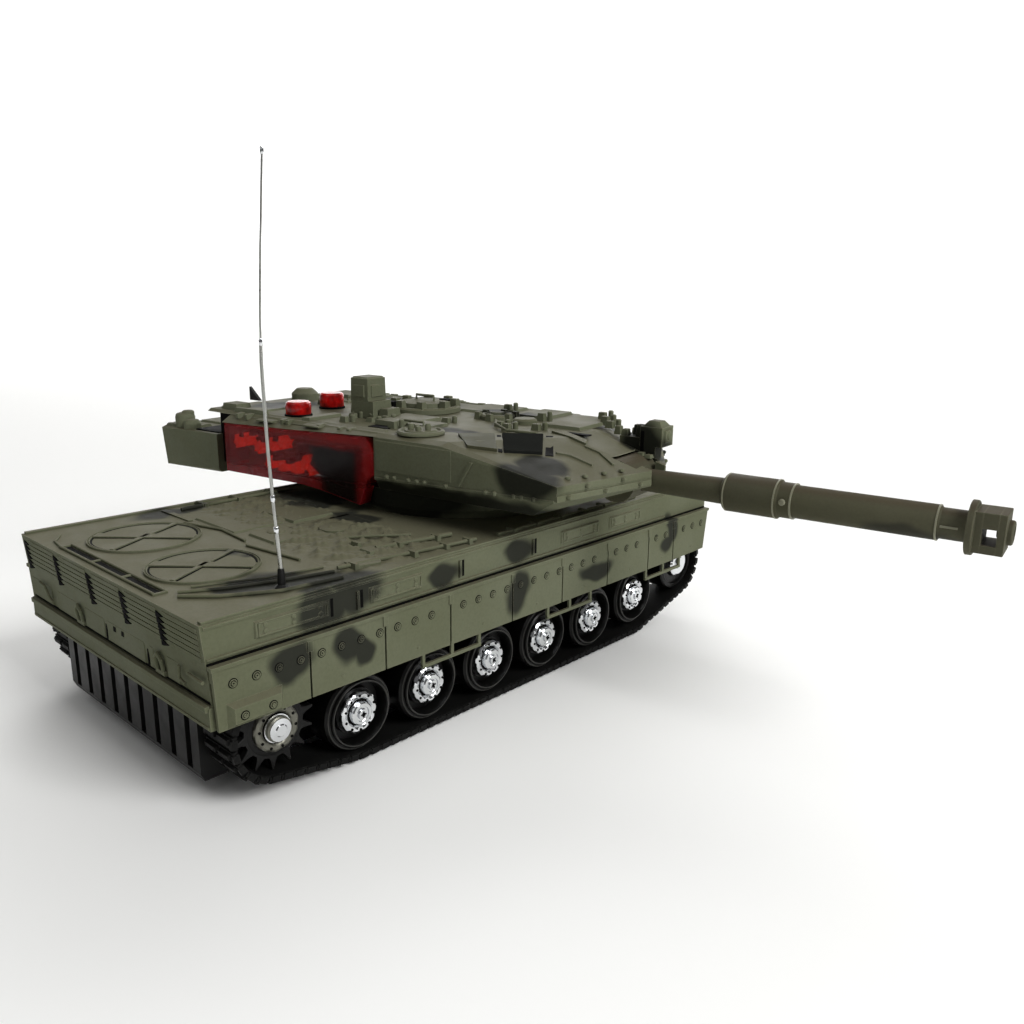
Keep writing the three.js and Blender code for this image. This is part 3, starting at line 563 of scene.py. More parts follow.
def deck_tools():
    """Tow cable, shovel, pry bar, hooks and clamps strapped to the deck."""
    s = Solid()
    s.tube([(8, 46, DECK + 0.7), (18, 56, DECK + 0.7), (36, 66, DECK + 0.7), (60, 69, DECK + 0.7)], 0.75)
    s.tube([(10, 42, DECK + 0.6), (24, 50, DECK + 0.6), (44, 57, DECK + 0.6), (62, 61, DECK + 0.6)], 0.65)
    s.tube([(16, 40, DECK + 0.6), (40, 50, DECK + 0.6), (62, 54, DECK + 0.6)], 0.5)
    s.tube([(64, 60, DECK + 1.2), (128, 69, DECK + 1.2)], 0.9)
    s.tube([(90, 50, DECK + 1.2), (126, 56, DECK + 1.2)], 1.1)
    s.box(84, 92, 46, 54, DECK, DECK + 1.6, 0.8)
    s.plate([(70, 56), (80, 54), (84, 60), (80, 66), (70, 64)], DECK, DECK + 1.4)
    for u, v in ((70, 62), (96, 66), (112, 67), (100, 52), (118, 55), (124, 68), (88, 40)):
        s.box(u - 1.2, u + 1.2, v - 2.6, v + 2.6, DECK, DECK + 2.4, 0.4)
    s.tube([(90, 30, DECK + 1.6), (100, 38, DECK + 2.0), (112, 46, DECK + 1.6)], 0.7)
    s.tube([(66, -64, DECK + 0.9), (128, -66, DECK + 0.9)], 0.9)
    s.tube([(140, -70, DECK + 0.9), (240, -70, DECK + 0.9)], 0.9)
    s.tube([(140, 70, DECK + 0.9), (240, 70, DECK + 0.9)], 0.9)
    for u in (78, 96, 116, 150, 175, 200, 226):
        s.box(u - 1.2, u + 1.2, -72, -62, DECK, DECK + 1.8, 0.4)
    for u in (150, 165, 182, 200, 214, 230):
        s.box(u - 1.2, u + 1.2, 66, 72, DECK, DECK + 1.8, 0.4)
    return piece(s, "deck_tools", "hull", M["hull"], 0.2)


def front_fittings():
    """Driver's hatch, head lamps and tow shackles at the front."""
    s = Solid()
    top = DECK - 4
    s.lathe([(13, 0), (13, 2.2), (11.5, 3.2), (0.5, 3.2)], (246, -24, top - 1.5), "z", 40)
    for v in (-30, -24, -18):
        s.box(258, 263, v - 2.4, v + 2.4, top - 4, top - 0.5, 0.5)
    for side in (-1, 1):
        for v in (62, 69):
            s.lathe([(3.2, 0), (3.2, 5), (2.6, 5.6), (0.5, 5.6)], (291, side * v, 60.5), "u", 20)
        s.box(286, 293, side * 66 - 8, side * 66 + 8, 56.5, 58.5, 0.6)
        shackle = [(3.4, -1.5), (3.4, 1.5), (1.8, 1.5), (1.8, -1.5), (3.4, -1.5)]
        s.lathe(shackle, (298, side * 34, 44), "v", 20)
        s.box(292, 298.5, side * 34 - 3.5, side * 34 + 3.5, 40, 47.5, 0.6)
    return piece(s, "front_fittings", "hull", M["hull"], 0.25)


def rear_lean(z):
    """How far forward the sloping rear plate lies at a height."""
    return 2.6 * (DECK - z) / 28.4


def rear_plate():
    """Slatted upper band, brackets, marker plates and the lower ledge of the hull's rear."""
    s = Solid()
    for k in range(6):
        z = 52.6 + SLAT_PITCH * k
        for v0, v1 in ((-68, -41.5), (-37.5, -11), (-6, 18), (22, 46), (50, 73.5)):
            s.end_box(v0, v1, z, z + 1.95, rear_lean(z) + 0.4, rear_lean(z) - 0.4, 0.25)
    for v0, v1 in ((-74, -52), (-47, -27), (-20, -2), (0, 31), (34, 38), (47, 56)):
        s.end_box(v0, v1, 39, 47.6, rear_lean(43) + 0.4, rear_lean(43) - 0.5, 0.5)
    for v in (-24, 42.5):
        foot, shoulder, top = rear_lean(40) - 0.8, rear_lean(44) - 1.2, rear_lean(46) - 1.2
        s.tube([(foot, v - 2.2, 40.5), (shoulder, v - 2.2, 45), (top, v, 47.2), (shoulder, v + 2.2, 45),
                (foot, v + 2.2, 40.5)], 0.8)
        s.end_box(v - 3.6, v + 3.6, 38.8, 41, rear_lean(39) + 0.4, rear_lean(39) - 1.4, 0.4)
    s.tube([(0.6, 58, 47.5), (0.4, 58, 43), (0.4, 62, 42.2)], 0.6)
    s.tube([(0.6, 64, 46.5), (0.4, 74, 46.2)], 0.6)
    s.tube([(0.6, -62, 47.5), (0.4, -56, 47), (0.4, -52, 43), (0.4, -49, 42)], 0.6)
    s.end_box(-74.5, 74.5, 35.4, 38, 1.8, 0.3, 0.4)
    s.end_box(-74.5, 74.5, 29.4, 30.6, 1.5, 0.9, 0.2)
    return piece(s, "rear_plate_fittings", "hull", M["hull"], 0.15)


def rear_notch_shade():
    """Painted shade in the dark columns of teeth between the slats, and in the holes and gaps under them."""
    s = Solid()

    def plate(outline):
        lean = rear_lean(outline[0][1])
        s.loops([[(d, v, z) for v, z in outline] for d in (lean + 0.4, lean - 0.55)])

    for v in (-70.5, -39.5, -8.5, 20, 48):
        for k in range(6):
            z = 51.4 + SLAT_PITCH * k
            w = v + 0.14 * (5 - k)
            plate([(w - 2.2, z), (w - 0.8, z), (w + 2.6, z + 0.9), (w - 0.8, z + 1.75), (w - 2.2, z + 2.0)])
    for v in (7, 13.7):
        plate([(v - 0.9, 44.6), (v + 0.9, 44.6), (v + 0.9, 46.4), (v - 0.9, 46.4)])
    for v in (-27.5, -1.2, 32.6):
        plate([(v - 0.5, 39.4), (v + 0.5, 39.4), (v + 0.5, 47.4), (v - 0.5, 47.4)])
    for v in (-68, -60, -56):
        plate([(v - 1.4, 42), (v + 1.4, 42), (v + 1.4, 46.4), (v - 1.4, 46.4)])
    return piece(s, "rear_notch_shade", "hull", M["dark"], 0.0)


def upper_side(side):
    """Stowage panels along the hull's upper side."""
    s = Solid()
    face = side * SIDE
    edge = side * (SIDE + 0.7)
    for u0, u1 in ((19, 49), (66.7, 92.7), (176, 204), (212, 238)):
        s.side_box(u0, u1, 56.2, 62.4, face, edge, 0.5)
        s.tube([(u0 + 1.4, edge, 61.6), (u0 + 1.4, edge, 57), (u1 - 1.4, edge, 57)], 0.5)
        s.tube([(u0 + 1.4, edge, 61.6), (u1 - 1.4, edge, 61.6), (u1 - 1.4, edge, 57)], 0.5)
        for u in (u0 + 4, (u0 + u1) / 2, u1 - 4):
            s.bolt(u, edge, 60.4, "v", 0.9, 0.5, side)
            s.bolt(u, edge, 58.2, "v", 0.9, 0.5, side)
    for u in (62.4, 113.7, 158):
        s.side_box(u - 1.6, u - 0.5, 55.4, 62.6, face, side * (SIDE + 1.0), 0.1)
    s.side_box(1.5, 260, 53.4, 54.4, face, side * (SIDE + 0.8), 0.2)
    s.side_box(1.0, 260, 64.2, 65.4, face, side * (SIDE + 0.6), 0.2)
    return piece(s, f"{name_of(side)}_side_panels", "hull", M["hull"], 0.15)


def side_slots(side):
    """Narrow dark slots between the side panels."""
    s = Solid()
    for u in (50.2, 63.4, 114.7, 159):
        s.side_box(u - 0.5, u + 0.6, 55.6, 62.4, side * (SIDE - 0.4), side * (SIDE + 0.12))
    return piece(s, f"{name_of(side)}_side_slots", "hull", M["dark"], 0.0)


def name_of(side):
    return "right" if side > 0 else "left"


def skirt(side):
    """Armour skirt in panels, with a lip along the top, screws, a lower box at the rear and step rails."""
    s = Solid()
    ends = [1.6, *SEAMS, 300.0]
    back, face = side * (SKIRT - 1.5), side * SKIRT
    rings = Solid()

    def dark_ring(u, v, z, outer, inner):
        rings.lathe([(outer, 0), (outer, side * 0.14), (inner, side * 0.14)], (u, v, z), "v", 16)

    for i, (u0, u1) in enumerate(zip(ends, ends[1:])):
        low0 = SKIRT_BOTTOM
        a, b = u0 + 0.4, u1 - 0.4
        if i == 0:
            outline = [(3.0, low0), (b, low0), (b, 51.4), (1.9, 51.4)]
        elif i == len(ends) - 2:
            outline = [(a, low0), (297, low0 + 0.5), (300, 51.4), (a, 51.4)]
        else:
            outline = [(a, low0), (b, low0), (b, 51.4), (a, 51.4)]
        s.prism(outline, back, face)
        s.side_box(a, min(b, 299.4), 46.2, 50.6, side * 75.4, back)
        if i < len(ends) - 2:
            s.side_box(u1 - 1.3, u1 + 1.3, 46.4, 51.2, face, side * (SKIRT + 0.6), 0.2)
    s.prism([(1.4, 50.6), (300, 50.6), (300, 52), (1.4, 52)], side * 75.4, side * (SKIRT + 0.7))
    u = 8.98
    while u < 296:
        if min(abs(u - q) for q in SEAMS) > 2.4:
            s.screw(u, face, 44.6, "v", 1.45, side)
            dark_ring(u, face, 44.6, 1.75, 1.3)
            rings.lathe([(0.72, 0), (0.72, side * 0.42), (0.2, side * 0.42)], (u, face, 44.6), "v", 8)
        u += 8.62
    s.side_box(6, 27, 29.2, 38.2, face, side * (SKIRT + 2.4), 1.8)
    for q in (11.2, 21.8):
        s.screw(q, side * (SKIRT + 2.4), 33.3, "v", 1.3, side)
        dark_ring(q, side * (SKIRT + 2.4), 33.3, 1.65, 1.2)
    for q in (52, 88, 124, 158, 192, 228, 256, 284):
        s.bolt(q, face, 33, "v", 0.7, 0.3, side)
    for start, end in STEPS:
        for q in (start, (start + end) / 2, end):
            s.box(q - 0.7, q + 0.7, side * 76.2, side * 77.4, 24.0, 30)
        s.box(start - 0.7, end + 0.7, side * 76.2, side * 77.6, 23.4, 24.8)
    for u1 in SEAMS:
        deep, shallow = side * (SKIRT - 1), side * (SKIRT - 0.7)
        rings.side_box(u1 - 0.45, u1 + 0.45, SKIRT_BOTTOM + 0.2, 46.4, deep, shallow)
    node = f"{name_of(side)}_skirt"
    piece(rings, f"{node}_gaps", "hull", M["dark"], 0.0)
    return piece(s, f"{node}_panels", "hull", M["hull"], 0.2, [node])


# ------------------------------------------------------------------ running gear


def belt_line(circles):
    """Points and outward directions along a belt laid round (u, z, radius) circles."""
    runs = []
    for i, (u, z, r) in enumerate(circles):
        u2, z2, r2 = circles[(i + 1) % len(circles)]
        runs.append(math.atan2(z2 - z, u2 - u) - math.acos((r - r2) / math.hypot(u2 - u, z2 - z)))
    line = []
    for i, (u, z, r) in enumerate(circles):
        start = runs[i - 1]
        sweep = (runs[i] - start) % (2 * math.pi)
        steps = max(2, math.ceil(sweep / 0.06))
        for k in range(steps + 1):
            t = start + sweep * k / steps
            c, w = math.cos(t), math.sin(t)
            line.append((Vector((u + r * c, z + r * w)), Vector((c, w))))
    return line


def along_belt(line, count):
    """count evenly spaced (point, outward) pairs on a closed line."""
    points = line + [line[0]]
    lengths = [0.0]
    for (p, _), (q, _) in zip(points, points[1:]):
        lengths.append(lengths[-1] + (q - p).length)
    out, i = [], 0
    for k in range(count):
        s = lengths[-1] * k / count
        while lengths[i + 1] < s:
            i += 1
        t = (s - lengths[i]) / max(lengths[i + 1] - lengths[i], 1e-9)
        (p, d), (q, e) = points[i], points[i + 1]
        out.append((p.lerp(q, t), d.lerp(e, t).normalized()))
    return out, lengths[-1] / count


def track(side):
    """A rubber band with moulded links: two pads, a guide tooth and a connector to each."""
    circles = [
        (SPROCKET[0], SPROCKET[1], SPROCKET[2] + 0.3),
        (WHEELS[0][0], WHEELS[0][1], WHEEL_R + 0.3),
        (WHEELS[5][0], 13.0, WHEEL_R + 0.3),
        (IDLER[0], IDLER[1], IDLER[2] + 0.3),
    ]
    line = belt_line(circles)
    links, pitch = along_belt(line, 124)
    s = Solid()

    def link_box(p, out, s0, s1, v0, v1, h0, h1, taper=0.0):
        run = Vector((-out.y, out.x))
        rings = []
        for h, t in ((h0, 0.0), (h1, taper)):
            ring = []
            for q, v in ((s0 + t, v0 + t), (s1 - t, v0 + t), (s1 - t, v1 - t), (s0 + t, v1 - t)):
                w = p + out * h + run * q
                ring.append((w.x, side * v, w.y))
            rings.append(ring)
        s.loops(rings)

    middle = (TRACK_IN + TRACK_OUT) / 2
    half = pitch / 2
    for p, out in links:
        link_box(p, out, -half * 0.86, half * 0.86, TRACK_IN + 0.4, TRACK_OUT - 0.4, 0.5, BAND)
        link_box(p, out, -half * 0.62, half * 0.3, TRACK_IN + 1.4, middle - 0.7, BAND, BAND + CLEAT, 0.25)
        link_box(p, out, -half * 0.62, half * 0.3, middle + 0.7, TRACK_OUT - 1.6, BAND, BAND + CLEAT, 0.25)
        link_box(p, out, -half * 0.5, half * 0.9, TRACK_OUT - 1.5, TRACK_OUT, 0.1, BAND + 0.5, 0.15)
        link_box(p, out, -half * 0.5, half * 0.9, TRACK_IN, TRACK_IN + 1.5, 0.1, BAND + 0.5, 0.15)
    rings = []
    for p, out in line:
        a, b = p, p + out * 1.5
        rings.append([(a.x, side * (TRACK_IN + 1), a.y), (a.x, side * (TRACK_OUT - 1), a.y),
                      (b.x, side * (TRACK_OUT - 1), b.y), (b.x, side * (TRACK_IN + 1), b.y)])
    rings.append(rings[0])
    s.loops(rings, caps=False)
    node = f"{name_of(side)}_track"
    return piece(s, f"{node}_links", "hull", M["rubber"], 0.0, [node], 40)


def road_wheel(side, index):
    """A dished black wheel with a raised bead, rubber tyre and inner disc, and pale bead rings as painted
    highlight.
    """
    u, z = WHEELS[index]
    s = Solid()
    r = WHEEL_R
    profile = [
        (2.4, 59), (r - 0.6, 59), (r, 59.6), (r, 71.6), (r - 0.7, 72.4), (13.4, 72.6), (13.3, 73.6),
        (12.9, 74), (12.5, 74), (12.2, 73.4), (11.9, 68), (9.2, 67.6), (9.0, 70.4), (2.4, 70.4), (2.4, 59),
    ]
    s.lathe([(q, side * d) for q, d in profile], (u, 0, z), "v", 48)
    node = f"{name_of(side)}_wheel_{index + 1}"
    body = f"{name_of(side)}_road_wheel_{index + 1}"
    piece(s, f"{node}_disc", body, M["gloss"], 0.0, [node], 28)
    s = Solid()
    # Two raised bead rings in paler grey: painted highlight on the wheel's rim.
    for r, d in ((14.3, 72.5), (12.8, 73.9)):
        s.lathe([(r - 0.25, side * (d - 0.3)), (r - 0.2, side * (d + 0.12)), (r + 0.2, side * (d + 0.12)),
                 (r + 0.25, side * (d - 0.3)), (r - 0.25, side * (d - 0.3))], (u, 0, z), "v", 48)
    piece(s, f"{node}_bead_highlights", body, M["bead"], 0.0, [], 28)
    return chrome_cap(side, u, z, f"{name_of(side)}_hub_{index + 1}", body, index * 0.4)


def chrome_cap(side, u, z, node, body, phase, scale=1.0, finish="chrome"):
    """A plated hub cap: a lobed rim with round holes, a domed middle and a cross-slotted screw."""
    s = Solid()
    n = 60
    lobes = 10

    def ring(r, d, wave=0.0):
        pts = []
        for k in range(n):
            t = phase + 2 * math.pi * k / n
            q = scale * (r + wave * math.cos(lobes * (t - phase)))
            pts.append((u + q * math.cos(t), side * d, z + q * math.sin(t)))
        return pts

    rim = [(8.4, 70.6), (8.5, 71.9), (8.1, 72.7, 0.14), (7.2, 73.2, 0.2), (6.1, 73.0, 0.2), (5.3, 72.3)]
    dome = [(4.9, 71.4), (4.7, 71.4), (4.5, 74.2), (4.1, 74.6), (3.0, 74.7), (2.8, 74.2), (2.2, 74.2)]
    screw = [(2.0, 75.2), (1.0, 75.3), (0.3, 74.9)]
    s.loops([ring(*step) for step in rim + dome + screw])
    piece(s, f"{node}_cap", body, M[finish], 0.0, [node], 30)
    h = Solid()
    for k in range(lobes):
        t = phase + 2 * math.pi * (k + 0.5) / lobes
        q = 6.9 * scale
        h.lathe([(0.55, side * 72.4), (0.55, side * 73.36), (0.1, side * 73.38)],
                (u + q * math.cos(t), 0, z + q * math.sin(t)), "v", 10)
    groove = [(5.2, 71.2), (5.25, 72.05), (4.55, 72.05), (4.6, 71.2), (5.2, 71.2)]
    h.lathe([(scale * q, side * d) for q, d in groove], (u, 0, z), "v", 30)
    for k in range(2):
        t = phase + math.pi * k / 2
        h.loops([[(p, side * d, q) for p, q in turned(u, z, t, 1.3, 0.3)] for d in (74.9, 75.36)])
    return piece(h, f"{node}_holes", body, M["dark"], 0.0)


def drive_sprocket(side):
    """Two toothed rings on a drum, with a dull dish and a bright centre."""
    u, z, tip = SPROCKET
    s = Solid()
    teeth = 14
    for v0, v1 in ((60.4, 63.0), (68.2, 70.8)):
        outline = []
        for i in range(teeth):
            for share, r in ((0.0, 11.9), (0.14, 13.2), (0.27, tip), (0.37, tip), (0.5, 13.2), (0.64, 11.9)):
                t = 2 * math.pi * (i + share) / teeth
                outline.append((u + r * math.cos(t), z + r * math.sin(t)))
        s.prism(outline, side * v0, side * v1)
    s.lathe([(2, side * 30), (2, side * 60), (11.5, side * 60.2), (11.5, side * 70.4), (10.2, side * 71.2),
             (2.0, side * 71.2)], (u, 0, z), "v", 40)
    body = f"{name_of(side)}_sprocket_set"
    node = f"{name_of(side)}_sprocket"
    piece(s, f"{node}_gear", body, M["black"], 0.2, [node])
    s = Solid()
    s.lathe([(5.3, side * 72.6), (5.3, side * 73), (4.4, side * 73.1), (4.2, side * 75), (2.4, side * 75.3),
             (2, side * 75.7), (0.3, side * 75.7)], (u, 0, z), "v", 30)
    piece(s, f"{node}_centre", body, M["chrome"], 0.0, [], 30)
    return chrome_cap(side, u, z, f"{name_of(side)}_sprocket_hub", body, 0.2, 1.06, "dish")


def idler_wheel(side):
    """The plain front wheel that the track returns over, with its own cap."""
    u, z, r = IDLER
    s = Solid()
    profile = [
        (2.4, 59), (r - 0.5, 59), (r, 59.6), (r, 71.4), (r - 0.6, 72), (12.6, 72.4), (12.1, 72.2),
        (11.6, 70.8), (8, 70.8), (7, 72.8), (2.2, 73), (0.3, 73),
    ]
    s.lathe([(q, side * d) for q, d in profile], (u, 0, z), "v", 48)
    for k in range(6):
        t = math.pi * k / 3
        s.bolt(u + 4.6 * math.cos(t), side * 72.9, z + 4.6 * math.sin(t), "v", 0.8, 0.5, side)
    node = f"{name_of(side)}_idler"
    cap = Solid()
    cap.lathe([(7.2, side * 70.4), (7.2, side * 73.2), (6.2, side * 74), (3.4, side * 74), (3, side * 74.8),
               (0.3, side * 74.8)], (u, 0, z), "v", 36)
    body = f"{name_of(side)}_idler_wheel"
    piece(cap, f"{node}_cap", body, M["chrome"], 0.0, [], 30)
    return piece(s, f"{node}_disc", body, M["gloss"], 0.0, [node], 28)


# ------------------------------------------------------------------ antenna


def antenna():
    """A telescopic whip with a bright collar at each step."""
    line = [(0, 0), (-1.2, 0.15), (-2.1, 0.3), (-2.7, 0.5), (-2.2, 0.62), (-0.9, 0.77), (0.3, 0.88), (1.5, 1)]

    def at(share):
        """A point along the whip, which bows to the rear left in the middle."""
        for (b0, s0), (b1, s1) in zip(line, line[1:]):
            if share <= s1:
                bow = b0 + (b1 - b0) * (share - s0) / (s1 - s0)
                break
        return (ANTENNA[0] + bow * 0.68, ANTENNA[1] + bow * 0.73, ANTENNA_FOOT + share * ANTENNA_LENGTH)

    for name, start, end, radius in (
        ("antenna_lower", 0.0, 0.10, 0.78),
        ("antenna_middle", 0.10, 0.56, 0.6),
        ("antenna_upper", 0.56, 0.985, 0.4),
    ):
        s = Solid()
        s.tube([at(start + (end - start) * k / 10) for k in range(11)], radius, 12)
        replaced = ["antenna_rod"] if name == "antenna_lower" else []
        piece(s, name, "hull", M["steel"], 0.0, replaced)
    s = Solid()
    for share, r in ((0.1, 0.95), (0.18, 0.8), (0.56, 0.68), (0.985, 0.7)):
        s.lathe([(r * 0.8, -1.2), (r, -0.8), (r, 0.8), (r * 0.8, 1.2)], at(share), "z", 14)
    piece(s, "antenna_collars", "hull", M["chrome"], 0.0)
    s = Solid()
    s.lathe([(2.4, DECK + 0.2), (2.4, DECK + 1.0), (1.5, DECK + 1.8), (1.2, DECK + 7.2), (0.9, DECK + 7.7)],
            (*ANTENNA, 0), "z", 20)
    return piece(s, "antenna_foot", "hull", M["black"], 0.0, ["antenna_base"])


# ------------------------------------------------------------------ turret


def plane_through(p, q, r):
    """The height of the plane through three points, as a function of (a, b)."""
    n = (Vector(q) - Vector(p)).cross(Vector(r) - Vector(p))
    return lambda a, b: p[2] - (n.x * (a - p[0]) + n.y * (b - p[1])) / n.z


WEDGE_BACK = plane_through((36, 55, ROOF), (70, 12, ROOF), (95, 60, 93))
WEDGE_FRONT = plane_through((70, 12, ROOF), (110, 7, 93), (95, 60, 93))


def wedge_z(a, b):
    """Height of the turret's roof and wedge-shaped front, on the right half."""
    return min(ROOF, WEDGE_BACK(a, b), WEDGE_FRONT(a, b))


def wedge_plate(s, points, rise, sink=0.8):
    """A thin plate that follows the roof and wedge."""
    s.loops([[(a, b, wedge_z(a, b) + h) for a, b in points] for h in (-sink, rise)])


def turret_details():
    """Side plates, bolt rows, the front band and the rows of bolts on it."""
    s = Solid(True)
    for side in (-1, 1):
        limit = 95 if side > 0 else 82
        shift = limit - 95
        for a in (4, 8.5, 17, 22, 26.5, 38.5, 60, 64.5, 74, 78, 84):
            if a < limit - 8:
                s.bolt(a, side * 59.7, 85.0 + a * 0.016, "v", 1.15, 1.3, side)
        s.side_box(-3.2, 41.5, 87, 101.6, side * 59.2, side * 60.0, 0.4)
        s.prism([(-3.6, 82.9), (limit - 1, 86.2), (limit - 1, 87.3), (-3.6, 84.2)], side * 58.6, side * 60.4)
        slope = [(51.6, 97.8), (44.6, 86.2), (46.2, 86.2), (53.2, 97.6)]
        s.prism(slope, side * 59.4, side * 60.7)
        for z0, z1, out in ((86.6, 89.2, 1.0), (90.0, 92.9, 0.8)):
            ends = [(limit - 0.5, side * 60), (109.5, side * 7)]
            edge = [(limit - 0.5 + out, side * (60 + 0.2)), (109.5 + out, side * 7)]
            outline = ends + edge[::-1]
            s.plate(outline, z0, z1)
        for k in range(5):
            t = 0.1 + 0.19 * k
            a, b = limit + 0.6 + (109.6 - limit) * t, side * (60 - 53 * t)
            s.bolt(a, b, 91.4 if k % 2 else 88, "u", 1.0, 1.5, 1)
        for a, b in ((93.5, 49.3), (97, 41.5), (100.2, 31.2), (103.3, 21.7)):
            a = a + shift * (b / 60)
            s.bolt(a, side * b, 94.1, "z", 1.3, 1.3)
    return piece(s, "turret_side_plates", "turret", M["turret"], 0.2)


def eaves():
    """Sloping strips from the roof's edge down to the window's top edge, with clutter along them."""
    s = Solid(True)
    for side in (-1, 1):
        rings = []
        for a, low in ((-112, 98.9), (-60, 100.4), (-9, 102.6), (-3.5, 102.8)):
            section = ((50.5, 104.6), (60.2, low), (58.5, low - 0.2), (50, 103.6))
            rings.append([(a, side * b, z) for b, z in section])
        s.loops(rings)
        for a, z in ((-86, 101.6), (-52, 102.3)):
            s.side_box(a, a + 12, z, z + 1.6, side * 55, side * 59.2, 0.4)
        for a in (-104, -97, -70, -66, -44, -30, -24):
            s.side_box(a, a + 3, 101, 104.6, side * 53, side * 57.5, 0.5)
    return piece(s, "roof_eaves", "turret", M["turret"], 0.25)


def roof_details():
    """Plates, periscopes, hooks and hatch rings over the roof."""
    s = Solid(True)
    z = ROOF
    s.box(-128, -96, 22, 48, z, z + 0.9, 0.6)
    s.box(-130, -90, -48, -10, z, z + 0.9, 0.6)
    s.box(-110, -86, 50, 53, z, z + 2.2, 0.5)
    s.box(-124, -112, 40, 50, z, z + 3.2, 0.6)
    s.box(-60, -54, 30, 52, z, z + 1.6, 0.5)
    s.box(-30, -6, 8, 26, z, z + 1.6, 0.6)
    s.box(-22, -10, 28, 40, z, z + 2.6, 0.5)
    s.box(-70, -40, -54, -34, z, z + 1.2, 0.6)
    s.box(-8, 8, 20, 34, z, z + 1.4, 0.6)
    s.box(16, 34, -52, -26, z, z + 1.4, 0.6)
    s.box(44, 66, -44, -6, z, z + 1.6, 0.8)
    s.box(-20, 6, -52, -24, z, z + 1.2, 0.8)
    vent = [(9, 0), (9, 1.8), (8, 2.6), (6.6, 2.6), (6.2, 1.6), (4, 1.6), (3.4, 3.6), (0.4, 3.8)]
    s.lathe(vent, (12, -14, z), "z", 32)
    s.lathe([(6, 0), (6, 1.8), (5, 2.6), (0.4, 2.6)], (32, -10, z), "z", 24)
    for k in range(6):
        t = math.pi * k / 3 + 0.3
        a, b = 12 + 9.5 * math.cos(t), -14 + 9.5 * math.sin(t)
        s.box(a - 1.8, a + 1.8, b - 1.5, b + 1.5, z, z + 3.6, 0.4)
    hooks = [(-24, 30, 3), (-30, 34, 2), (-8, 42, 3.4), (0, 12, 2.4), (2, -38, 4), (-52, 2, 3), (38, 14, 3.4),
             (34, -22, 4), (48, 4, 3), (28, 6, 2.6), (66, -30, 4.4), (60, -38, 5), (72, -24, 3.4),
             (-46, 30, 2.4), (-40, 42, 2.8), (-60, 6, 3), (-96, 4, 2.6), (-100, -20, 3)]
    for a, b, h in hooks:
        s.box(a - 2.2, a + 2.2, b - 1.7, b + 1.7, z, z + h, 0.5)
        s.lathe([(1.3, 0), (1.3, h + 0.4), (0.9, h + 0.9), (0.3, h + 0.9)], (a + 3.4, b - 2.2, z), "z", 12)
    s.tube([(-10, 34, z + 1), (-10, 34, z + 3), (4, 34, z + 3), (4, 34, z + 1)], 0.6)
    s.tube([(-92, -30, z), (-92, -30, z + 3), (-92, -12, z + 3), (-92, -12, z)], 0.6)
    s.tube([(20, -2, z + 1.2), (30, 12, z + 2.2), (42, 20, z + 1.4), (56, 16, z + 0.8)], 0.7)
    s.lathe([(7.5, 0), (7.5, 3.5), (6.6, 4.4), (4.5, 6.3), (0.4, 6.5)], (-121, -6, z), "z", 20)
    s.box(-126, -114, -12, -2, z, z + 3.2, 0.8)
    return piece(s, "roof_fittings", "turret", M["turret"], 0.2)


def wedge_details():
    """Raised panels along the wedge's upper edge, and shallow ribs on its slope."""
    s = Solid(True)
    wedge_plate(s, [(76, 31.2), (82, 27.6), (92.5, 27.6), (93, 28.8), (82.4, 29.2), (77, 32)], 0.9)
    wedge_plate(s, [(80, 13), (88, 12.4), (98, 18.2), (97.4, 19.4), (87.6, 13.8), (80.4, 14.2)], 0.9)
    wedge_plate(s, [(58, 6.5), (64, 3.5), (78, 8), (80, 12), (72, 12)], 1.2)
    piece(s, "wedge_panels", "turret", M["turret"], 0.2)
    s = Solid(True)
    wedge_plate(s, [(29.5, 40), (42.5, 30), (57.5, 48.5), (46, 54.5)], 1.4)
    piece(s, "moss_panel", "turret", M["moss"], 0.3)
    s = Solid(True)
    wedge_plate(s, [(44.9, 27.4), (60.5, 17.2), (73.1, 37), (60.2, 47.2)], 1.5)
    piece(s, "grey_panel", "turret", M["shade"], 0.3)
    s = Solid(True)
    wedge_plate(s, [(61.4, 16.4), (64, 14.4), (77.4, 35), (74.6, 37)], 0.35)
    s.box(-20.5, -8, 38, 46, ROOF, ROOF + 0.35)
    s.box(58, 76, 0.5, 4, ROOF - 0.2, ROOF + 0.4)
    for a0, b0 in ((-31, -24.5), (-47, 2)):
        s.box(a0, a0 + 7, b0, b0 + 5, ROOF + 2, ROOF + 6.2, 0.3)
    wedge_plate(s, [(42.8, 28.6), (44.4, 27.6), (59.6, 47.6), (58, 48.4)], 0.4)
    piece(s, "roof_gaps", "turret", M["dark"], 0.0)
    s = Solid(True)
    s.loops([[(-139.5, b, z) for z in (ROOF + 0.4, ROOF + 8)] + [(-131, b, ROOF + 0.4)] for b in (17, 19)])
    return piece(s, "roof_fin", "turret", M["black"], 0.2)


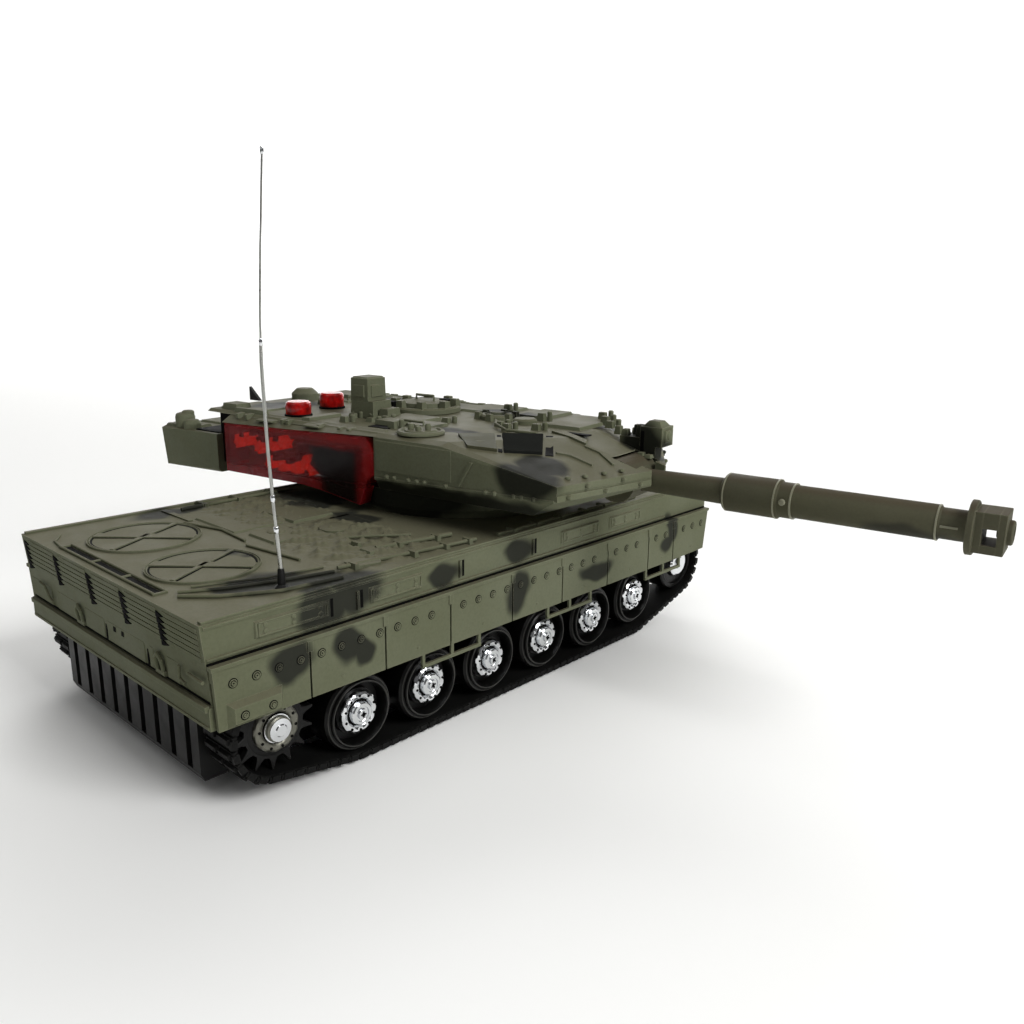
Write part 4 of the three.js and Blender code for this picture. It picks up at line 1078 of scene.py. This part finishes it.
def hatches():
    """The commander's raised hatch and the loader's low one."""
    s = Solid(True)
    z = ROOF + 0.3
    a, b = -35, -13
    lid = [(19, 0), (19, 2.2), (18, 3), (16.5, 3), (16, 1.6), (14, 1.6), (13.4, 5), (12.4, 5.2), (0.4, 5.4)]
    s.lathe(lid, (a, b, z), "z", 48)
    for k in range(8):
        t = math.pi * k / 4 + 0.2
        s.box(a + 16 * math.cos(t) - 2.4, a + 16 * math.cos(t) + 2.4, b + 16 * math.sin(t) - 2,
              b + 16 * math.sin(t) + 2, z + 1.4, z + 6.4, 0.5)
    s.tube([(a - 6, b, z + 5), (a - 6, b, z + 8), (a + 6, b, z + 8), (a + 6, b, z + 5)], 0.7)
    piece(s, "commander_hatch_lid", "turret", M["turret"], 0.2, ["commander_hatch"])
    s = Solid(True)
    a, b = 13, 46.5
    s.lathe([(11, 0), (11, 1.0), (10.4, 1.7), (9.2, 1.7), (8.8, 1.0), (7.6, 1.1), (7.2, 1.9), (0.4, 2.1)],
            (a, b, z), "z", 48)
    for k, h in ((0, 5), (1.1, 4), (2.4, 4.6), (3.6, 3.4), (4.9, 3.8)):
        at_a, at_b = a + 4.4 * math.cos(k), b + 4.4 * math.sin(k)
        s.lathe([(1.4, 1), (1.5, h - 1), (1.0, h), (0.3, h)], (at_a, at_b, z), "z", 12)
    return piece(s, "loader_hatch_lid", "turret", M["turret"], 0.2, ["loader_hatch"])


def lamps():
    """Two domed red lamps, each in a dark socket."""
    for name, a, b, h in (("rear_lamp", -81, 11, 8.4), ("side_lamp", -73, 42, 7.4)):
        s = Solid(True)
        z = ROOF + 0.3
        dome = [(6.2, 0.4), (6.5, 1.2), (6.5, h - 2.2), (6.2, h - 1), (5.4, h - 0.3), (3, h), (0.4, h + 0.1)]
        s.lathe(dome, (a, b, z), "z", 40)
        piece(s, f"{name}_lens", "turret", M["lamp"], 0.0, [name])
        s = Solid(True)
        s.lathe([(7, -0.2), (7, 0.5), (6.7, 0.8), (0.4, 0.9)], (a, b, z), "z", 36)
        piece(s, f"{name}_socket", "turret", M["dark"], 0.0)


def sight():
    """The tall sight box on its pedestal, and a second one beside the gun."""
    s = Solid(True)
    z = ROOF + 0.3
    s.box(-50, -34, 14, 28, z, z + 8.5, 0.5)
    s.box(-49.8, -37.8, 14.4, 27.6, z + 8, z + 19.6, 0.2)
    s.box(-49.4, -38.2, 14.8, 27.2, z + 19.4, z + 20.3, 0.8)
    s.side_box(-47.6, -40, z + 10, z + 16.4, 27, 28, 0.4)
    s.end_box(16.5, 25.5, z + 10, z + 16.4, -38.2, -37.2, 0.4)
    s.box(-33.5, -27, 15, 25, z, z + 5, 0.6)
    for a in (-48, -36):
        s.bolt(a, 28, z + 2, "v", 0.8, 0.4, 1)
    piece(s, "sight_housing", "turret", M["turret"], 0.3, ["sight_block"])
    s = Solid(True)
    s.box(94.6, 104.4, -23, -13, 108.2, 111, 2.2)
    for a, b, z0, h in ((85, -16, 102.6, 3.4), (88, -22, 102.6, 5), (92, -17, 102.6, 6), (84, -28, 100, 5),
                        (78, -22, 102, 4), (97, -9, 95, 2.4), (101, -8.6, 95, 1.8)):
        s.box(a - 1.8, a + 1.8, b - 2, b + 2, z0, z0 + h, 0.5)
    s.end_box(-22, -14.5, 101, 107.5, 104.8, 105.8, 0.5)
    s.lathe([(2.2, 0), (2.2, 1.0), (1.4, 1.6), (0.4, 1.6)], (105, -18, 104.5), "u", 16)
    piece(s, "gunner_sight_details", "turret", M["turret"], 0.3)
    s = Solid(True)
    s.side_box(94.6, 96.2, 95, 106.5, -12.6, -12.15)
    return piece(s, "gunner_sight_gap", "turret", M["dark"], 0.0)


def bustle_details():
    """Lid, straps and the small canister on the bustle box, and the dark gap in front of it."""
    s = Solid(True)
    s.box(-172, -130, -46, 30, 90, 91.2, 0.8)
    s.box(-176, -152, 36, 50, 90, 91.4, 0.8)
    s.lathe([(5.2, 89.6), (5.4, 95.6), (4.8, 97.4), (3, 98), (0.4, 98)], (-163, 46, 0), "z", 20)
    s.lathe([(3.4, 95), (3.4, 98.6), (2.4, 99.2), (0.4, 99.2)], (-161.5, 45, 0), "z", 16)
    s.lathe([(4.6, 89.6), (4.8, 93), (3.4, 95), (0.4, 95.2)], (-154, 48, 0), "z", 16)
    for b in (-50, -40, -28, -14, 0, 14, 28, 40):
        s.box(-126, -122, b - 1.4, b + 1.4, 78, 101, 0.3)
    s.end_box(-44, 44, 73, 86, -176.6, -177.6, 0.8)
    piece(s, "bustle_plates", "turret", M["turret"], 0.3)
    s = Solid(True)
    s.box(-147, -127, 30, 51, 90, 91.0, 0.2)
    s.side_box(-126, -111.5, 75, 102, 45, 50)
    return piece(s, "bustle_gap", "turret", M["dark"], 0.0)


def leds():
    """Two rows of flame-shaped red lamps inside the window, and the dark space behind them."""
    s = Solid(True)
    rows = ((-105, 88.4), (-97, 90.6), (-89, 87.2), (-79, 89.4), (-71, 91)), (
        (-81, 79.6), (-71.5, 78.6), (-62, 79.4), (-55, 83), (-50, 80.4))
    for side in (-1, 1):
        for row in rows:
            for k, (a, z) in enumerate(row):
                points = []
                for i in range(10):
                    t = 2 * math.pi * i / 10 + 0.3 * k
                    r = (3.5 if i % 2 else 1.7) * (1.3 if math.sin(t) > 0.5 else 0.9)
                    points.append((a + r * math.cos(t) * 0.95, max(z + r * math.sin(t), 76.8)))
                s.loops([[(p, side * b, q) for p, q in points] for b in (50.5, 56.8)])
    piece(s, "window_lamps", "turret", M["led"], 0.3)
    s = Solid(True)
    for side in (-1, 1):
        s.box(-107.5, -44, side * 48.9, side * 57.8, 75.9, 76.4)
        s.prism([(-42, 79.2), (-9.5, 79.2), (-9.5, 93), (-44, 92), (-50, 84)], side * 49, side * 57)
        for a, z in ((-101, 93.5), (-93, 95), (-84, 92.5), (-75, 94), (-76, 84), (-66, 83.6), (-58, 86.8)):
            s.box(a - 1.6, a + 1.6, side * 50, side * 57, z - 1.6, z + 1.2, 0.4)
    return piece(s, "window_inside", "turret", M["dark"], 0.0)


# ------------------------------------------------------------------ gun


def gun():
    """The barrel with its bore evacuator and rings, and the open muzzle block."""
    s = Solid(True)
    breech = [(5.1, 98.4), (5.1, 112), (5.6, 141), (7.7, 142.4), (8.05, 143.6), (8.05, 164.6)]
    middle = [(7.6, 165.3), (7.3, 165.6), (7.3, 170.6), (6.9, 171.2), (6.75, 171.6), (6.75, 224.4)]
    muzzle = [(6.3, 225.2), (5.9, 225.6), (5.9, 234.6)]
    s.lathe(breech + middle + muzzle, (0, 0, GUN_Z), "u", 48)
    piece(s, "barrel_tube", "gun", M["gun"], 0.15, ["barrel"])
    s = Solid(True)
    for a, r in ((143.2, 8.0), (164.4, 8.1), (171.0, 7.32), (224.6, 6.8)):
        band = [(r - 0.6, -0.35), (r + 0.12, -0.3), (r + 0.12, 0.3), (r - 0.6, 0.35)]
        s.lathe(band, (a, 0, GUN_Z), "u", 40)
    s.box(226, 232, 5.7, 6.2, GUN_Z - 0.4, GUN_Z + 0.4)
    # Painted highlight: this stud takes the rings' pale colour as its glint.
    s.bolt(168, 7.2, GUN_Z + 0.6, "v", 1.4, 0.9)
    piece(s, "barrel_rings", "gun", M["rim"], 0.0)
    s = Solid(True)
    flange = [(5, 234.5), (10, 234.7), (10.2, 235), (10.2, 236.9), (9.8, 237.2), (5, 237.4)]
    s.lathe(flange, (0, 0, GUN_Z), "u", 40)
    s.box(237, 240, -7.2, 7.2, GUN_Z - 7.6, GUN_Z + 7.6)
    s.box(244.8, 247.5, -7.2, 7.2, GUN_Z - 7.6, GUN_Z + 7.6)
    s.box(239.6, 245.2, -7.2, 7.2, GUN_Z + 1.6, GUN_Z + 7.6)
    s.box(239.6, 245.2, -7.2, 7.2, GUN_Z - 7.6, GUN_Z - 4.4)
    s.lathe([(4.6, 247), (4.6, 249), (4.1, 249.5), (2.6, 249.5), (2.4, 244)], (0, 0, GUN_Z), "u", 28)
    return piece(s, "muzzle_brake_block", "gun", M["gun"], 0.3, ["muzzle_brake"])


# ------------------------------------------------------------------ carried-over nodes

KEPT = {
    "upper_hull": "hull", "lower_hull": "black", "battery_door": "black", "battery_pack": "blue",
    "power_switch": "red", "drive_gearbox": "grey", "circuit_board": "board", "turret_motor": "steel",
    "right_drive_motor": "steel", "left_drive_motor": "steel", "right_window": "window",
    "left_window": "window", "turret_base": "turret", "turret_shell": "turret", "bustle_box": "turret",
    "right_led_board": "board", "gun_mantlet": "gun",
}
for node, look in KEPT.items():
    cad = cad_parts[node]
    cad.data.materials.clear()
    cad.data.materials.append(M[look])
    cad.data.polygons.foreach_set("use_smooth", [True] * len(cad.data.polygons))
    cad.data.set_sharp_from_angle(angle=math.radians(30))
    soften(cad, 0.0 if "window" in node else 0.35)

hull_top()
deck_shadow_lines()
deck_relief("deck_gear", (64, 118, -6, 71), 2.9)
deck_relief("deck_gear_left", (68, 122, -68, -4), 2.4, 2.0)
deck_tools()
front_fittings()
rear_plate()
rear_notch_shade()
antenna()
turret_details()
eaves()
roof_details()
wedge_details()
hatches()
lamps()
sight()
bustle_details()
leds()
gun()
for hand in SIDES.values():
    upper_side(hand)
    side_slots(hand)
    skirt(hand)
    track(hand)
    drive_sprocket(hand)
    idler_wheel(hand)
    for wheel in range(6):
        road_wheel(hand, wheel)

# ------------------------------------------------------------------ room, lights, camera

scene = bpy.context.scene
scene.view_settings.view_transform = "Standard"
GROUND = -0.006
FLOOR_REACH = 6.0
WALL_TOP = 4.0
FOCAL_LENGTH = 31.44621
ROLL = math.radians(0.66)
CAMERA_PLACE = (-0.3247, 0.3113, 0.1714)
VIEW = Vector((0.6592, -0.7097, -0.2487)).normalized()


def backdrop(name, corners, color, glow=0.0):
    """A flat sheet of the studio, in pale paper."""
    mesh = bpy.data.meshes.new(name)
    mesh.from_pydata(corners, [], [(0, 1, 2, 3)])
    obj = bpy.data.objects.new(name, mesh)
    scene.collection.objects.link(obj)
    paper = Nodes(f"{name}_paper")
    paper.set(Base_Color=rgb(*color), Roughness=0.9, Specular_IOR_Level=0.1)
    if glow:
        paper.set(Emission_Color=(1, 1, 1, 1), Emission_Strength=glow)
    mesh.materials.append(paper.material)


signs = ((-1, -1), (1, -1), (1, 1), (-1, 1))
backdrop("floor", [(x * FLOOR_REACH, y * FLOOR_REACH, GROUND) for x, y in signs], (246, 246, 244))
away = Vector((VIEW.x, VIEW.y, 0)).normalized() * 4.5
across = Vector((-away.y, away.x, 0)) * 1.4
ends = (away - across, away + across)
wall = [(p.x, p.y, GROUND) for p in ends] + [(p.x, p.y, WALL_TOP) for p in reversed(ends)]
backdrop("wall", wall, (250, 250, 250), 0.9)

world = bpy.data.worlds.new("studio")
scene.world = world
world.use_nodes = True
world.node_tree.nodes["Background"].inputs[0].default_value = (1, 1, 1, 1)
world.node_tree.nodes["Background"].inputs[1].default_value = 0.1


def area_light(name, place, target, size, power):
    """A square soft light at a place, aimed at a target."""
    data = bpy.data.lights.new(name, "AREA")
    data.size = size
    data.energy = power
    obj = bpy.data.objects.new(name, data)
    scene.collection.objects.link(obj)
    obj.location = place
    obj.rotation_mode = "QUATERNION"
    obj.rotation_quaternion = (Vector(target) - Vector(place)).to_track_quat("-Z", "Y")


area_light("key", (-1.5, -0.1, 1.2), (0, 0, 0.03), 0.8, 27)
area_light("top", (0.0, 0.2, 2.2), (0, 0, 0.03), 2.4, 12)
area_light("fill", (-0.3, 1.8, 0.9), (0, 0, 0.05), 0.9, 2.4)
area_light("far_floor", tuple(away * 0.72 + Vector((0, 0, 2.2))), tuple(away * 0.8), 3.0, 110)

camera_data = bpy.data.cameras.new("camera")
camera_data.sensor_width = 36.0
camera_data.lens = FOCAL_LENGTH
camera_data.clip_start = 0.01
camera = bpy.data.objects.new("camera", camera_data)
scene.collection.objects.link(camera)
scene.camera = camera
level = VIEW.cross(Vector((0, 0, 1))).normalized()
upright = level.cross(VIEW)
right = level * math.cos(ROLL) + upright * math.sin(ROLL)
up = upright * math.cos(ROLL) - level * math.sin(ROLL)
camera.rotation_mode = "QUATERNION"
camera.rotation_quaternion = Matrix((right, up, -VIEW)).transposed().to_quaternion()
camera.location = CAMERA_PLACE
